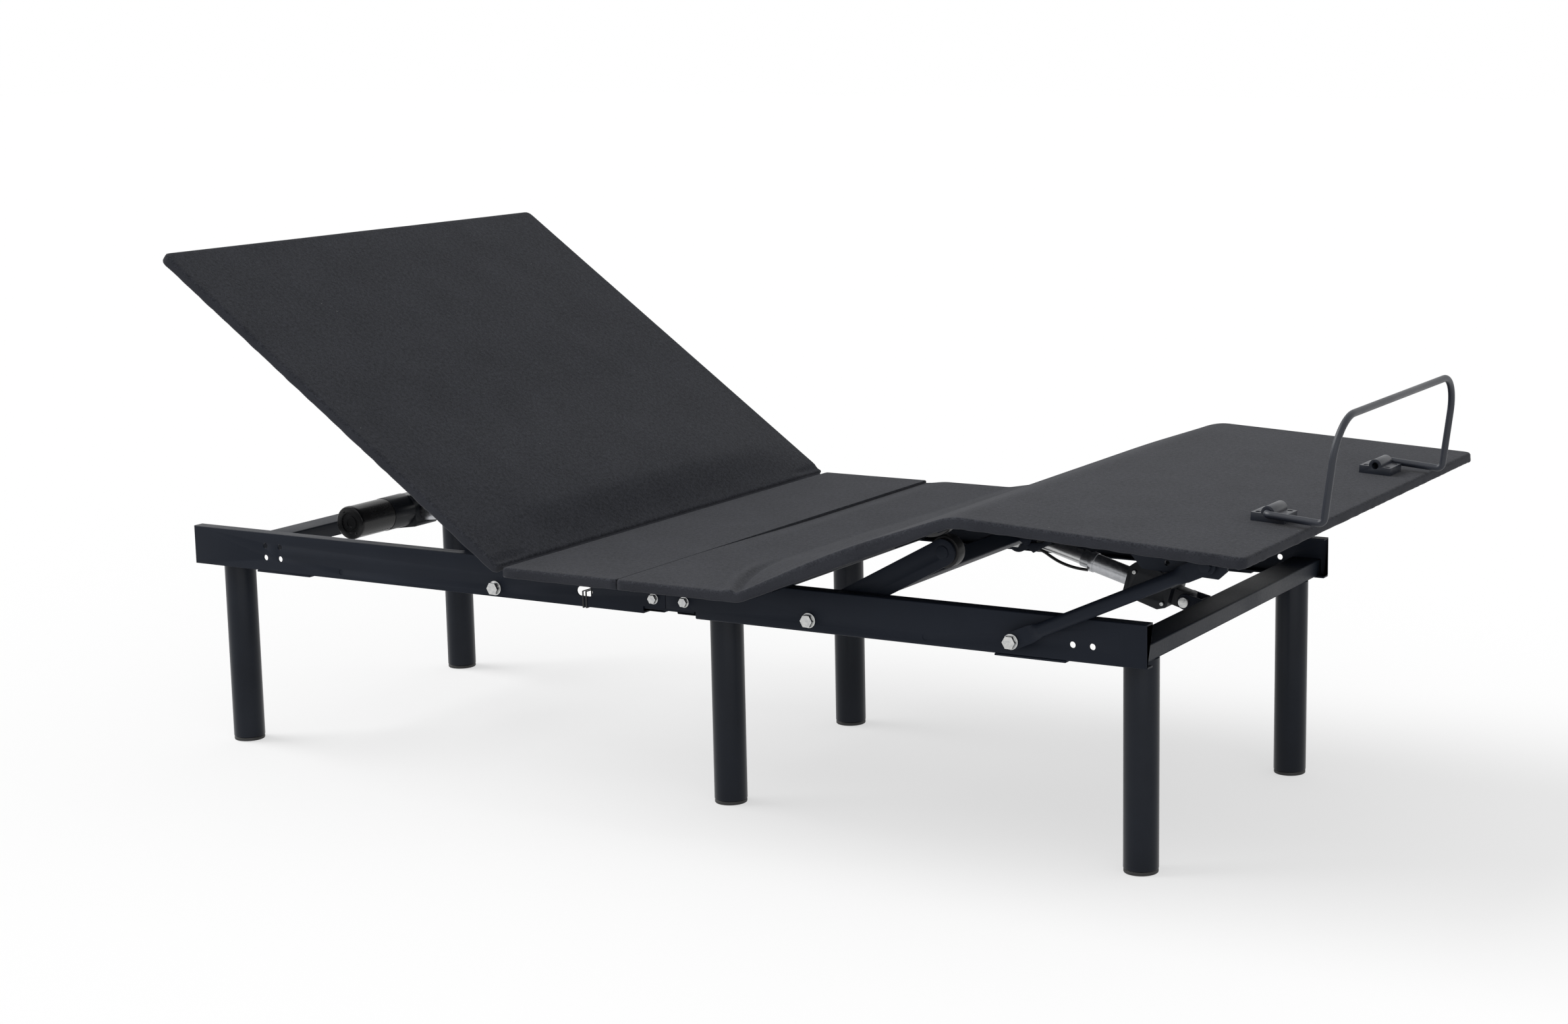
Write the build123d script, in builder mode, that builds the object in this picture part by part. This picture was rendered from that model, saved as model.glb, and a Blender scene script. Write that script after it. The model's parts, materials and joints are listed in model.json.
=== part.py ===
# Adjustable bed base: steel frame, five deck panels, two lift drives and a mattress retainer.
# Millimetres, Z up, origin on the floor under the middle. Head end is at -X, near side at -Y.
import os
from math import atan2, cos, degrees, hypot, radians, sin, sqrt, tan

from build123d import *

os.makedirs("parts", exist_ok=True)

# Overall sizes
deck_width = 965
deck_top = 394.5
board = 15.5
corner = 12
rail_head = -1000
rail_foot = 751
rail_span = 715
rail_height = 64
rail_flange = 21.5
sheet = 2.5
fit = 0.05
air = 0.3

# Positions of the folds and the resting angles of the panels
back_fold = -269
seat_split = -53.4
thigh_fold = 159
back_rest = 35.3
thigh_rest = 21.87
leg_rest = -2.8
back_max = 60
thigh_max = 40
back_length = 791
thigh_length = 374.66
leg_length = 440
fold_gap = 5.5

# Legs, beams and splice
leg_radius = 26
leg_wall = 4
leg_head_x = -962
leg_foot_x = 714
leg_mid_near_x = -9
leg_mid_far_x = -84
leg_end_y = 291.8
leg_mid_y = 251.4
glide_height = 6
beam_width = 50
beam_height = 25
beam_wall = 2
stud_radius = 5
splice_x = -50
splice_gap = 1
notch_head_x = -92
notch_foot_x = 4
tongue_rise = 11.5
splice_bolts_x = (-71.8, -15.8)
splice_bolt_rise = 25
splice_bolt_radius = 4
splice_plate = 5

# Holes in the rails
headboard_x = -828.5
headboard_pitch = 31
headboard_rows = (22.4, 42.6)
footboard_x = 652.5
footboard_rise = 24.7
mount_radius = 4.75
dimple_spots = (-684, 401)
tie_slot_x = -200
stiffener_spans = ((-864, -752), (513, 626))

# Lift frames
arm_width = 40
arm_thick = 6
arm_inside = 328
back_pivot = (-372.2, 329.4)
thigh_pivot = (204.4, 333.1)
back_arm = 320
thigh_arm = 242
pivot_radius = 6
roller_radius = 24
roller_width = 20
track_least = 2.2
track_gap_back = 1.7
track_gap_thigh = 0.5
back_tube_at = (58, -7.5)
thigh_tube_at = (168, -7.5)
back_pin_at = (115, -25)
thigh_pin_at = (205, -22)

# Leg struts
strut_foot = (548.1, 338.7)
strut_top_at = (340.5, -35.7)
strut_radius = 10.5
strut_gap = 2
tab_thick = 6
tab_width = 26

# Drive units
head_drive = (-909, 343.5)
head_drive_y = 20
foot_drive_y = 0
foot_drive = (661, 337)
housing_front = 97
housing_half = 28
motor_along = 69
motor_above = 9
motor_radius = 28.5
motor_length = 140
motor_boss = 52
cap_length = 6
guide_radius = 14.5
rod_radius = 11
pin_radius = 5
rod_end_length = 14
head_guide_end = 250
foot_guide_end = 184
ring_width = 8
neck_length = 15
neck_wall = 2
lead_radius = 2.4

# How far the followers move for each part of the panel's own turn
back_drive_turn = 0.27
back_drive_stroke = 74
thigh_drive_turn = 0.65
thigh_drive_stroke = 127.35
knee_turn = leg_rest / thigh_rest - 1
strut_turn = 1.045

# Mattress retainer
bar_radius = 5.25
socket_along = 376.5
socket_across = 220
socket_side = 50
socket_height = 12
screw_step = 17
screw_seat = 4.5
bar_across = 254.5
bar_bend_along = 463
bar_top_along = 475
bar_height = 145
bar_drop = 3
bar_hold = 30
socket_wall = 4.75
bar_above = board / 2 + 13.25

# Derived sizes
deck_mid = deck_top - board / 2
rail_top = deck_top - board
rail_bottom = rail_top - rail_height
rail_out = rail_span / 2
strut_centre = rail_out + strut_radius + strut_gap
web_in = rail_out - sheet
beam_bottom = rail_bottom + sheet
beam_top = beam_bottom + beam_height
arm_outside = arm_inside + arm_thick
under = -board / 2


def side_frame(spot, angle, heading, y=0):
    """Upright frame: x along the heading at an angle, y upward."""
    a = radians(angle)
    return Plane(
        origin=(spot[0], y, spot[1]),
        x_dir=(heading * cos(a), 0, sin(a)),
        z_dir=(0, -heading, 0),
    )


def plan_frame(spot, angle, heading):
    """Panel frame: x along the panel, z out of its top face."""
    a = radians(angle)
    return Plane(
        origin=(spot[0], 0, spot[1]),
        x_dir=(heading * cos(a), 0, sin(a)),
        z_dir=(-heading * sin(a), 0, cos(a)),
    )


def save(piece, name):
    """Label a finished piece and write it out."""
    piece.part.label = name
    export_step(piece.part, "parts/" + name + ".step")


def panel_block(frame, start, end, width, low, high, rounding, outer, mode=Mode.ADD):
    """Flat panel whose outer end has rounded corners."""
    middle = (start + end) / 2
    with BuildSketch(frame.offset(low)) as outline:
        with Locations((middle, 0)):
            RectangleRounded(end - start, width, rounding)
        if outer == 0:
            with Locations((middle, 0)):
                Rectangle(end - start, width)
        else:
            with Locations(((start + middle) / 2, 0)):
                Rectangle(middle - start, width)
    extrude(outline.sketch, amount=high - low, mode=mode)


def across(x, y, z, radius, length, mode=Mode.ADD):
    """Round bar or hole lying across the bed."""
    with Locations((x, y, z)):
        Cylinder(radius, length, rotation=(90, 0, 0), mode=mode)


def hex_across(x, z, inner, outer, flats):
    """Hexagon head or nut lying across the bed."""
    with BuildSketch(Plane.XZ.offset(-inner)) as hexagon:
        with Locations((x, z)):
            RegularPolygon(flats / 2, 6, major_radius=False)
    extrude(hexagon.sketch, amount=-(outer - inner))


def arm_contact(turn, pivot, arm, depth):
    """Lift-arm angle that brings its roller to the given depth under a panel."""
    q = radians(turn)
    ox = -depth * sin(q) - pivot[0]
    oz = depth * cos(q) - pivot[1]
    along = ox * cos(q) + oz * sin(q)
    reach = -along + sqrt(along * along - (ox * ox + oz * oz - arm * arm))
    return degrees(atan2(oz + reach * sin(q), ox + reach * cos(q)))


def turned(point, angle):
    """Turn a point about the origin."""
    a = radians(angle)
    return (point[0] * cos(a) - point[1] * sin(a), point[0] * sin(a) + point[1] * cos(a))


# Lift-arm angles: both ends of the travel touch the track at its thinnest
end_depth_back = under - track_least - track_gap_back - roller_radius
end_depth_thigh = under - track_least - track_gap_thigh - roller_radius
back_pivot_rel = (back_fold - back_pivot[0], back_pivot[1] - deck_mid)
thigh_pivot_rel = (thigh_pivot[0] - thigh_fold, thigh_pivot[1] - deck_mid)
back_arm_flat = arm_contact(0, back_pivot_rel, back_arm, end_depth_back)
back_arm_top = arm_contact(back_max, back_pivot_rel, back_arm, end_depth_back)
thigh_arm_flat = arm_contact(0, thigh_pivot_rel, thigh_arm, end_depth_thigh)
thigh_arm_top = arm_contact(thigh_max, thigh_pivot_rel, thigh_arm, end_depth_thigh)
back_arm_turn = (back_arm_top - back_arm_flat) / back_max
thigh_arm_turn = (thigh_arm_top - thigh_arm_flat) / thigh_max
back_arm_rest = back_arm_flat + back_arm_turn * back_rest
thigh_arm_rest = thigh_arm_flat + thigh_arm_turn * thigh_rest

# Knee and strut positions at rest
knee = (
    thigh_fold + thigh_length * cos(radians(thigh_rest)),
    deck_mid + thigh_length * sin(radians(thigh_rest)),
)
strut_top_rel = turned(strut_top_at, leg_rest)
strut_top = (knee[0] + strut_top_rel[0], knee[1] + strut_top_rel[1])
strut_length = hypot(strut_top[0] - strut_foot[0], strut_top[1] - strut_foot[1])
strut_rest = degrees(atan2(strut_top[1] - strut_foot[1], strut_top[0] - strut_foot[0]))

# Frames that everything is drawn in
back_side = side_frame((back_fold, deck_mid), back_rest, -1)
back_plan = plan_frame((back_fold, deck_mid), back_rest, -1)
thigh_side = side_frame((thigh_fold, deck_mid), thigh_rest, 1)
thigh_plan = plan_frame((thigh_fold, deck_mid), thigh_rest, 1)
leg_side = side_frame(knee, leg_rest, 1)
leg_plan = plan_frame(knee, leg_rest, 1)
seat_plan = plan_frame((0, deck_mid), 0, 1)
back_arm_side = side_frame(back_pivot, back_arm_rest, -1)
thigh_arm_side = side_frame(thigh_pivot, thigh_arm_rest, 1)
strut_side = side_frame(strut_foot, strut_rest, 1)
sides = ((-1, "near"), (1, "far"))


def drive_aim(pivot_at, arm_angle, heading, pin_at, drive):
    """Angle and length from a drive's rear pin to the pin on its lift frame."""
    reach = turned(pin_at, arm_angle)
    x = pivot_at[0] + heading * reach[0]
    z = pivot_at[1] + reach[1]
    run = -heading * (x - drive[0])
    rise = z - drive[1]
    return degrees(atan2(rise, run)), hypot(run, rise)


head_aim, head_reach = drive_aim(back_pivot, back_arm_rest, -1, back_pin_at, head_drive)
foot_aim, foot_reach = drive_aim(thigh_pivot, thigh_arm_rest, 1, thigh_pin_at, foot_drive)
head_drive_side = side_frame(head_drive, head_aim, 1, head_drive_y)
foot_drive_side = side_frame(foot_drive, foot_aim, -1, foot_drive_y)


def travel(rest, most):
    """Five turns spread over a panel's travel, counted from its resting angle."""
    return (-rest, -rest / 2, 0, (most - rest) / 2, most - rest)


def pin_shift(turn, pivot_at, arm_angle, arm_turn, heading, pin_at, drive, aim, reach, aim_turn, stroke):
    """Where the rod's pin sits in its lift frame after the panel has turned."""
    angle = radians(aim + aim_turn * turn)
    length = reach + stroke * radians(turn)
    x = drive[0] - heading * length * cos(angle)
    z = drive[1] + length * sin(angle)
    return turned((heading * (x - pivot_at[0]), z - pivot_at[1]), -(arm_angle + arm_turn * turn))


back_slot = [
    pin_shift(t, back_pivot, back_arm_rest, back_arm_turn, -1, back_pin_at, head_drive,
              head_aim, head_reach, back_drive_turn, back_drive_stroke)
    for t in travel(back_rest, back_max)
]
thigh_slot = [
    pin_shift(t, thigh_pivot, thigh_arm_rest, thigh_arm_turn, 1, thigh_pin_at, foot_drive,
              foot_aim, foot_reach, thigh_drive_turn, thigh_drive_stroke)
    for t in travel(thigh_rest, thigh_max)
]


def strut_shift(turn):
    """Where the strut's top pin sits in the leg panel after the thigh has turned."""
    q = radians(thigh_rest + turn)
    kx = thigh_fold + thigh_length * cos(q)
    kz = deck_mid + thigh_length * sin(q)
    s = radians(strut_rest + strut_turn * turn)
    x = strut_foot[0] + strut_length * cos(s)
    z = strut_foot[1] + strut_length * sin(s)
    return turned((x - kx, z - kz), -(leg_rest + (1 + knee_turn) * turn))


strut_slot = [strut_shift(t) for t in travel(thigh_rest, thigh_max)]

# Side rails, a head half and a foot half on each side
for side, where in sides:
    with BuildPart() as rail_half:
        with BuildSketch(Plane.YZ.offset(rail_head)) as profile:
            with Locations((side * (rail_out - sheet / 2), rail_top - rail_height / 2)):
                Rectangle(sheet, rail_height)
            with Locations((side * (rail_out - rail_flange / 2), rail_top - sheet / 2)):
                Rectangle(rail_flange, sheet)
            with Locations((side * (rail_out - rail_flange / 2), rail_bottom + sheet / 2)):
                Rectangle(rail_flange, sheet)
        extrude(amount=splice_x - splice_gap / 2 - rail_head)
        tongue = splice_x - notch_head_x + 10
        with Locations((notch_head_x + tongue / 2, side * (rail_out - rail_flange / 2), rail_bottom)):
            Box(tongue, rail_flange + 10, 2 * tongue_rise, mode=Mode.SUBTRACT)
        for shift in (-headboard_pitch / 2, headboard_pitch / 2):
            for rise in headboard_rows:
                across(headboard_x + shift, side * rail_out, rail_bottom + rise, mount_radius, 20,
                       Mode.SUBTRACT)
        across(back_pivot[0], side * rail_out, back_pivot[1], pivot_radius + fit, 20, Mode.SUBTRACT)
        across(splice_bolts_x[0], side * rail_out, rail_bottom + splice_bolt_rise,
               splice_bolt_radius + fit, 20, Mode.SUBTRACT)
        across(dimple_spots[0], side * rail_out, rail_bottom + 12, 5, 1.6, Mode.SUBTRACT)
        for x in (-225, -95):
            with Locations((x, side * (rail_out - 14.5), rail_top)):
                Cylinder(2.6, 20, mode=Mode.SUBTRACT)
        with BuildSketch(Plane.XZ.offset(-side * (rail_out + 5))) as tie_slot:
            with Locations((tie_slot_x, rail_bottom + 24.5)):
                SlotOverall(30, 15)
        extrude(tie_slot.sketch, amount=side * 20, mode=Mode.SUBTRACT)
    save(rail_half, "rail_head_" + where)

    with BuildPart() as rail_half:
        with BuildSketch(Plane.YZ.offset(splice_x + splice_gap / 2)) as profile:
            with Locations((side * (rail_out - sheet / 2), rail_top - rail_height / 2)):
                Rectangle(sheet, rail_height)
            with Locations((side * (rail_out - rail_flange / 2), rail_top - sheet / 2)):
                Rectangle(rail_flange, sheet)
            with Locations((side * (rail_out - rail_flange / 2), rail_bottom + sheet / 2)):
                Rectangle(rail_flange, sheet)
        extrude(amount=rail_foot - splice_x - splice_gap / 2)
        tongue = notch_foot_x - splice_x + 10
        with Locations((notch_foot_x - tongue / 2, side * (rail_out - rail_flange / 2), rail_bottom)):
            Box(tongue, rail_flange + 10, 2 * tongue_rise, mode=Mode.SUBTRACT)
        for shift in (-headboard_pitch / 2, headboard_pitch / 2):
            across(footboard_x + shift, side * rail_out, rail_bottom + footboard_rise,
                   mount_radius, 20, Mode.SUBTRACT)
        across(thigh_pivot[0], side * rail_out, thigh_pivot[1], pivot_radius + fit, 20, Mode.SUBTRACT)
        across(strut_foot[0], side * rail_out, strut_foot[1], pivot_radius + fit, 20, Mode.SUBTRACT)
        across(splice_bolts_x[1], side * rail_out, rail_bottom + splice_bolt_rise,
               splice_bolt_radius + fit, 20, Mode.SUBTRACT)
        across(dimple_spots[1], side * rail_out, rail_bottom + 12, 5, 1.6, Mode.SUBTRACT)
        for x in (-20, 120):
            with Locations((x, side * (rail_out - 14.5), rail_top)):
                Cylinder(2.6, 20, mode=Mode.SUBTRACT)
    save(rail_half, "rail_foot_" + where)

# Plates stiffening the bottom flanges
with BuildPart() as stiffeners:
    for side, where in sides:
        for start, end in stiffener_spans:
            with Locations(((start + end) / 2, side * (rail_out - rail_flange / 2), rail_bottom - 1.5)):
                Box(end - start, rail_flange, 3)
save(stiffeners, "rail_stiffeners")

# Splice plates behind the tongues, their bolts and washers
splice_start = splice_bolts_x[0] - 28
splice_end = splice_bolts_x[1] + 16
with BuildPart() as splice_plates:
    for side, where in sides:
        low = rail_bottom + tongue_rise - 4
        high = rail_top - sheet - 2
        middle = ((splice_start + splice_end) / 2, side * (web_in - splice_plate / 2), (low + high) / 2)
        with Locations(middle):
            Box(splice_end - splice_start, splice_plate, high - low)
        for x in splice_bolts_x:
            across(x, side * web_in, rail_bottom + splice_bolt_rise, splice_bolt_radius + fit, 20,
                   Mode.SUBTRACT)
save(splice_plates, "splice_plates")

with BuildPart() as splice_washers:
    for side, where in sides:
        for x in splice_bolts_x:
            z = rail_bottom + splice_bolt_rise
            across(x, side * (rail_out + 0.75), z, 8.5, 1.5)
            across(x, side * (rail_out + 0.75), z, splice_bolt_radius + fit, 4, Mode.SUBTRACT)
save(splice_washers, "splice_washers")

with BuildPart() as splice_bolts:
    for side, where in sides:
        for x in splice_bolts_x:
            z = rail_bottom + splice_bolt_rise
            shank = rail_out + 1.5 - (web_in - splice_plate)
            across(x, side * (rail_out + 1.5 - shank / 2), z, splice_bolt_radius, shank)
            hex_across(x, z, side * (rail_out + 1.5), side * (rail_out + 7), 13)
save(splice_bolts, "splice_bolts")

# Cross beams of rectangular tube on the bottom flanges
beams = (
    ("beam_head", ((leg_head_x, web_in, (-leg_end_y, leg_end_y)),)),
    ("beams_mid", ((leg_mid_far_x, web_in - splice_plate, (leg_mid_y,)),
                   (leg_mid_near_x, web_in - splice_plate, (-leg_mid_y,)))),
    ("beam_foot", ((leg_foot_x, web_in, (-leg_end_y, leg_end_y)),)),
)
for name, tubes in beams:
    with BuildPart() as beam:
        for x, reach, studs in tubes:
            with BuildSketch(Plane.XZ) as section:
                with Locations((x, beam_bottom + beam_height / 2)):
                    Rectangle(beam_width, beam_height)
                    Rectangle(beam_width - 2 * beam_wall, beam_height - 2 * beam_wall, mode=Mode.SUBTRACT)
            extrude(amount=reach, both=True)
            for y in studs:
                with Locations((x, y, beam_bottom)):
                    Cylinder(stud_radius + fit, 3 * beam_wall, mode=Mode.SUBTRACT)
    save(beam, name)

# Legs with their studs, nuts and floor glides
leg_spots = (
    ("leg_head_near", leg_head_x, -leg_end_y),
    ("leg_head_far", leg_head_x, leg_end_y),
    ("leg_mid_near", leg_mid_near_x, -leg_mid_y),
    ("leg_mid_far", leg_mid_far_x, leg_mid_y),
    ("leg_foot_near", leg_foot_x, -leg_end_y),
    ("leg_foot_far", leg_foot_x, leg_end_y),
)
with BuildPart() as legs:
    for name, x, y in leg_spots:
        with Locations((x, y, (glide_height + beam_bottom) / 2)):
            Cylinder(leg_radius, beam_bottom - glide_height)
        with Locations((x, y, (beam_bottom - 28) / 2)):
            Cylinder(leg_radius - leg_wall, beam_bottom - 28, mode=Mode.SUBTRACT)
        with Locations((x, y, beam_bottom + 5.5)):
            Cylinder(stud_radius, 11)
save(legs, "legs")

with BuildPart() as leg_glides:
    for name, x, y in leg_spots:
        with Locations((x, y, glide_height / 2)):
            Cylinder(leg_radius - 0.5, glide_height)
        with Locations((x, y, glide_height + 5)):
            Cylinder(leg_radius - leg_wall - fit, 10)
save(leg_glides, "leg_glides")

# Hinges: positions across the bed and the leaf's own sizes
hinge_across = (-420, 0, 420)
leaf_half = 30
leaf_reach = 40
leaf = 2
knuckle_radius = 4.5
hinge_pin = 2.5
outer_spans = ((-leaf_half, -10.2), (10.2, leaf_half))
inner_spans = ((-9.8, 9.8),)


def leaf_group(frame, spans, bore):
    """Hinge leaves of one side of a fold, with their knuckles."""
    for y in hinge_across:
        with BuildSketch(frame.offset(y - leaf_half)) as flat:
            with Locations(((leaf_reach + fold_gap) / 2, under - leaf / 2)):
                Rectangle(leaf_reach - fold_gap, leaf)
        extrude(flat.sketch, amount=2 * leaf_half)
        for start, end in spans:
            with BuildSketch(frame.offset(y + start)) as knuckle:
                with BuildLine():
                    Polyline((0, 0), (5.2, under - leaf), (fold_gap, under - leaf),
                             (fold_gap, under), (3.8, -2.4), close=True)
                make_face()
                Circle(knuckle_radius)
                Circle(hinge_pin + bore, mode=Mode.SUBTRACT)
            extrude(knuckle.sketch, amount=end - start)


# Deck panels: felt-covered boards
seat_head_fold = side_frame((back_fold, deck_mid), 0, 1)
seat_foot_fold = side_frame((thigh_fold, deck_mid), 0, -1)
thigh_knee_fold = side_frame(knee, -thigh_rest, -1)
seat_screws_x = ((-225, -95), (-20, 120))
flange_screws_head = [(x, s * (rail_out - 14.5)) for x in seat_screws_x[0] for s in (-1, 1)]
flange_screws_foot = [(x, s * (rail_out - 14.5)) for x in seat_screws_x[1] for s in (-1, 1)]
socket_screw_spots = [
    (socket_along + shift, side * socket_across + step)
    for side in (-1, 1) for shift in (-screw_step, screw_step) for step in (-screw_step, screw_step)
]
panels = (
    ("back", back_plan, fold_gap, back_length, 1, []),
    ("seat_head", seat_plan, back_fold + fold_gap, seat_split - 0.9, 0, flange_screws_head),
    ("seat_foot", seat_plan, seat_split + 0.9, thigh_fold - fold_gap, 0, flange_screws_foot),
    ("thigh", thigh_plan, fold_gap, thigh_length - fold_gap, 0, []),
    ("leg", leg_plan, fold_gap, leg_length, 1, []),
)
half = board / 2
for name, frame, start, end, outer, from_flange in panels:
    with BuildPart() as panel:
        panel_block(frame, start, end, deck_width, -half, half, corner, outer)
        for x, y in from_flange:
            with Locations(frame.location * Pos(x, y, under)):
                Cylinder(2.5 + fit, 20 + fit, mode=Mode.SUBTRACT)
        if name == "leg":
            for along, y in socket_screw_spots:
                with Locations(frame.location * Pos(along, y, half)):
                    Cylinder(2 + fit, 16, mode=Mode.SUBTRACT)
    save(panel, name + "_panel")

# Screws that hold the seat panels from under the top flanges
with BuildPart() as seat_screws:
    for x, y in flange_screws_head + flange_screws_foot:
        with Locations((x, y, rail_top - sheet + 6)):
            Cylinder(2.5, 12)
        with Locations((x, y, rail_top - sheet - 1.5)):
            Cylinder(5, 3)
save(seat_screws, "seat_screws")

# Hinges at the back fold, the thigh fold and the knee
folds = (
    ("back_hinge", seat_head_fold, back_side, (back_fold, deck_mid)),
    ("thigh_hinge", seat_foot_fold, thigh_side, (thigh_fold, deck_mid)),
    ("knee_hinge", thigh_knee_fold, leg_side, knee),
)
for name, fixed, moving, spot in folds:
    with BuildPart() as leaves:
        leaf_group(fixed, outer_spans, fit)
        for y in hinge_across:
            across(spot[0], y, spot[1], hinge_pin, 2 * leaf_half)
    save(leaves, name + "_fixed")
    with BuildPart() as leaves:
        leaf_group(moving, inner_spans, fit)
    save(leaves, name + "_moving")

# Bolts, washers, spacers and nuts that the lift arms and struts turn on
arm_pivots = (back_pivot, thigh_pivot)
with BuildPart() as pivot_bolts:
    for side, where in sides:
        for x, z in arm_pivots:
            tip = arm_inside - 10.5
            across(x, side * (rail_out + 2 + tip) / 2, z, pivot_radius, rail_out + 2 - tip)
            hex_across(x, z, side * (rail_out + 2), side * (rail_out + 10), 18)
        tip = web_in - 10
        head = strut_centre + tab_thick / 2 + air + 2
        across(strut_foot[0], side * (head + tip) / 2, strut_foot[1], pivot_radius, head - tip)
        hex_across(strut_foot[0], strut_foot[1], side * head, side * (head + 8), 18)
save(pivot_bolts, "pivot_bolts")

with BuildPart() as pivot_washers:
    for side, where in sides:
        for x, z in arm_pivots:
            across(x, side * (rail_out + 1), z, 11.5, 2)
            across(x, side * (rail_out + 1), z, pivot_radius + fit, 4, Mode.SUBTRACT)
        y = strut_centre + tab_thick / 2 + air + 1
        across(strut_foot[0], side * y, strut_foot[1], 11.5, 2)
        across(strut_foot[0], side * y, strut_foot[1], pivot_radius + fit, 4, Mode.SUBTRACT)
    for side, where in sides:
        for x, z in arm_pivots:
            long = web_in - arm_outside - air
            across(x, side * (web_in - long / 2), z, 10, long)
            across(x, side * (web_in - long / 2), z, pivot_radius + fit, long + 2, Mode.SUBTRACT)
        long = strut_centre - tab_thick / 2 - air - rail_out
        across(strut_foot[0], side * (rail_out + long / 2), strut_foot[1], 10, long)
        across(strut_foot[0], side * (rail_out + long / 2), strut_foot[1], pivot_radius + fit, long + 2,
               Mode.SUBTRACT)
save(pivot_washers, "pivot_washers")

with BuildPart() as pivot_nuts:
    for side, where in sides:
        for x, z in arm_pivots:
            hex_across(x, z, side * (arm_inside - 10.3), side * (arm_inside - air), 19)
            across(x, side * (arm_inside - 5), z, pivot_radius + fit, 20, Mode.SUBTRACT)
        hex_across(strut_foot[0], strut_foot[1], side * (web_in - 10), side * web_in, 19)
        across(strut_foot[0], side * (web_in - 5), strut_foot[1], pivot_radius + fit, 14, Mode.SUBTRACT)
save(pivot_nuts, "pivot_nuts")

# Lift frames: arms, cross tube, bracket, roller pins and rollers
frames = (
    ("back", back_arm_side, -1, back_arm, back_tube_at, back_pin_at, back_slot, head_drive_y),
    ("thigh", thigh_arm_side, 1, thigh_arm, thigh_tube_at, thigh_pin_at, thigh_slot, foot_drive_y),
)
ear_inner = 13
ear_thick = 5
boss_thick = rail_out - rail_flange - arm_outside - fit - 2 * air
slot_width = 2 * pin_radius + 3.4
for name, frame, heading, arm, tube_at, pin_at, slot, drive_y in frames:
    with BuildPart() as lift_arms:
        for sign in (-1, 1):
            with BuildSketch(frame.offset(sign * arm_inside)) as bar:
                with Locations((arm / 2, 0)):
                    SlotOverall(arm + arm_width, arm_width)
                Circle(pivot_radius + fit, mode=Mode.SUBTRACT)
                with Locations((arm, 0)):
                    Circle(pivot_radius + fit, mode=Mode.SUBTRACT)
            extrude(amount=sign * arm_thick)
        for sign in (-1, 1):
            with BuildSketch(frame.offset(sign * (arm_inside - roller_width - 6))) as shaft:
                with Locations((arm, 0)):
                    Circle(pivot_radius)
            extrude(amount=sign * (roller_width + 6 + arm_thick))
            with BuildSketch(frame.offset(sign * (arm_inside - roller_width - 6))) as collar:
                with Locations((arm, 0)):
                    Circle(10)
            extrude(amount=sign * 4)
            with BuildSketch(frame.offset(sign * (arm_outside + fit))) as boss:
                with Locations((arm, 0)):
                    Circle(10)
            extrude(amount=sign * boss_thick)
            with BuildSketch(frame.offset(sign * (arm_outside - 1))) as neck:
                with Locations((arm, 0)):
                    Circle(pivot_radius)
            extrude(amount=sign * 2)
    save(lift_arms, name + "_arms")

    with BuildPart() as cross_tube:
        with BuildSketch(frame) as section:
            with Locations(tube_at):
                Rectangle(beam_width, beam_height)
                Rectangle(beam_width - 2 * beam_wall, beam_height - 2 * beam_wall, mode=Mode.SUBTRACT)
        extrude(amount=arm_inside, both=True)
    save(cross_tube, name + "_cross_tube")

    with BuildPart() as bracket:
        tube_end = tube_at[0] + beam_width / 2
        tube_low = tube_at[1] - beam_height / 2
        tube_high = tube_at[1] + beam_height / 2
        reach = max(p[0] for p in slot) + slot_width / 2 + 7
        low = min(p[1] for p in slot) - slot_width / 2 - 7
        high = max(p[1] for p in slot) + slot_width / 2 + 7
        for sign in (-1, 1):
            with BuildSketch(frame.offset(-heading * drive_y + sign * ear_inner)) as ear:
                with BuildLine():
                    Polyline((tube_end, tube_low), (tube_end, tube_high), (pin_at[0], high),
                             (reach, high), (reach, low), (pin_at[0], low), close=True)
                make_face()
                fillet(ear.vertices().sort_by(Axis.X)[-2:], 6)
            extrude(amount=sign * ear_thick)
            with BuildSketch(frame.offset(-heading * drive_y + sign * ear_inner)) as window:
                for spot in slot:
                    with Locations(spot):
                        Circle(slot_width / 2)
                make_hull()
            extrude(amount=sign * ear_thick, mode=Mode.SUBTRACT)
    save(bracket, name + "_lift_bracket")

    with BuildPart() as rollers:
        for sign in (-1, 1):
            with BuildSketch(frame.offset(sign * (arm_inside - 1 - roller_width))) as wheel:
                with Locations((arm, 0)):
                    Circle(roller_radius)
                    Circle(pivot_radius + fit, mode=Mode.SUBTRACT)
            extrude(amount=sign * roller_width)
    save(rollers, name + "_rollers")


def roller_path(turn, pivot, arm, flat, ratio):
    """Roller centre in the panel's own frame."""
    x, z = turned((arm, 0), flat + ratio * turn)
    return turned((pivot[0] + x, pivot[1] + z), -turn)


def circle_centre(a, b, c):
    """Centre of the circle through three points."""
    ax, az = b[0] - a[0], b[1] - a[1]
    cx, cz = c[0] - a[0], c[1] - a[1]
    d = 2 * (ax * cz - az * cx)
    x = (cz * (ax * ax + az * az) - az * (cx * cx + cz * cz)) / d
    z = (ax * (cx * cx + cz * cz) - cx * (ax * ax + az * az)) / d
    return (a[0] + x, a[1] + z)


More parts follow.
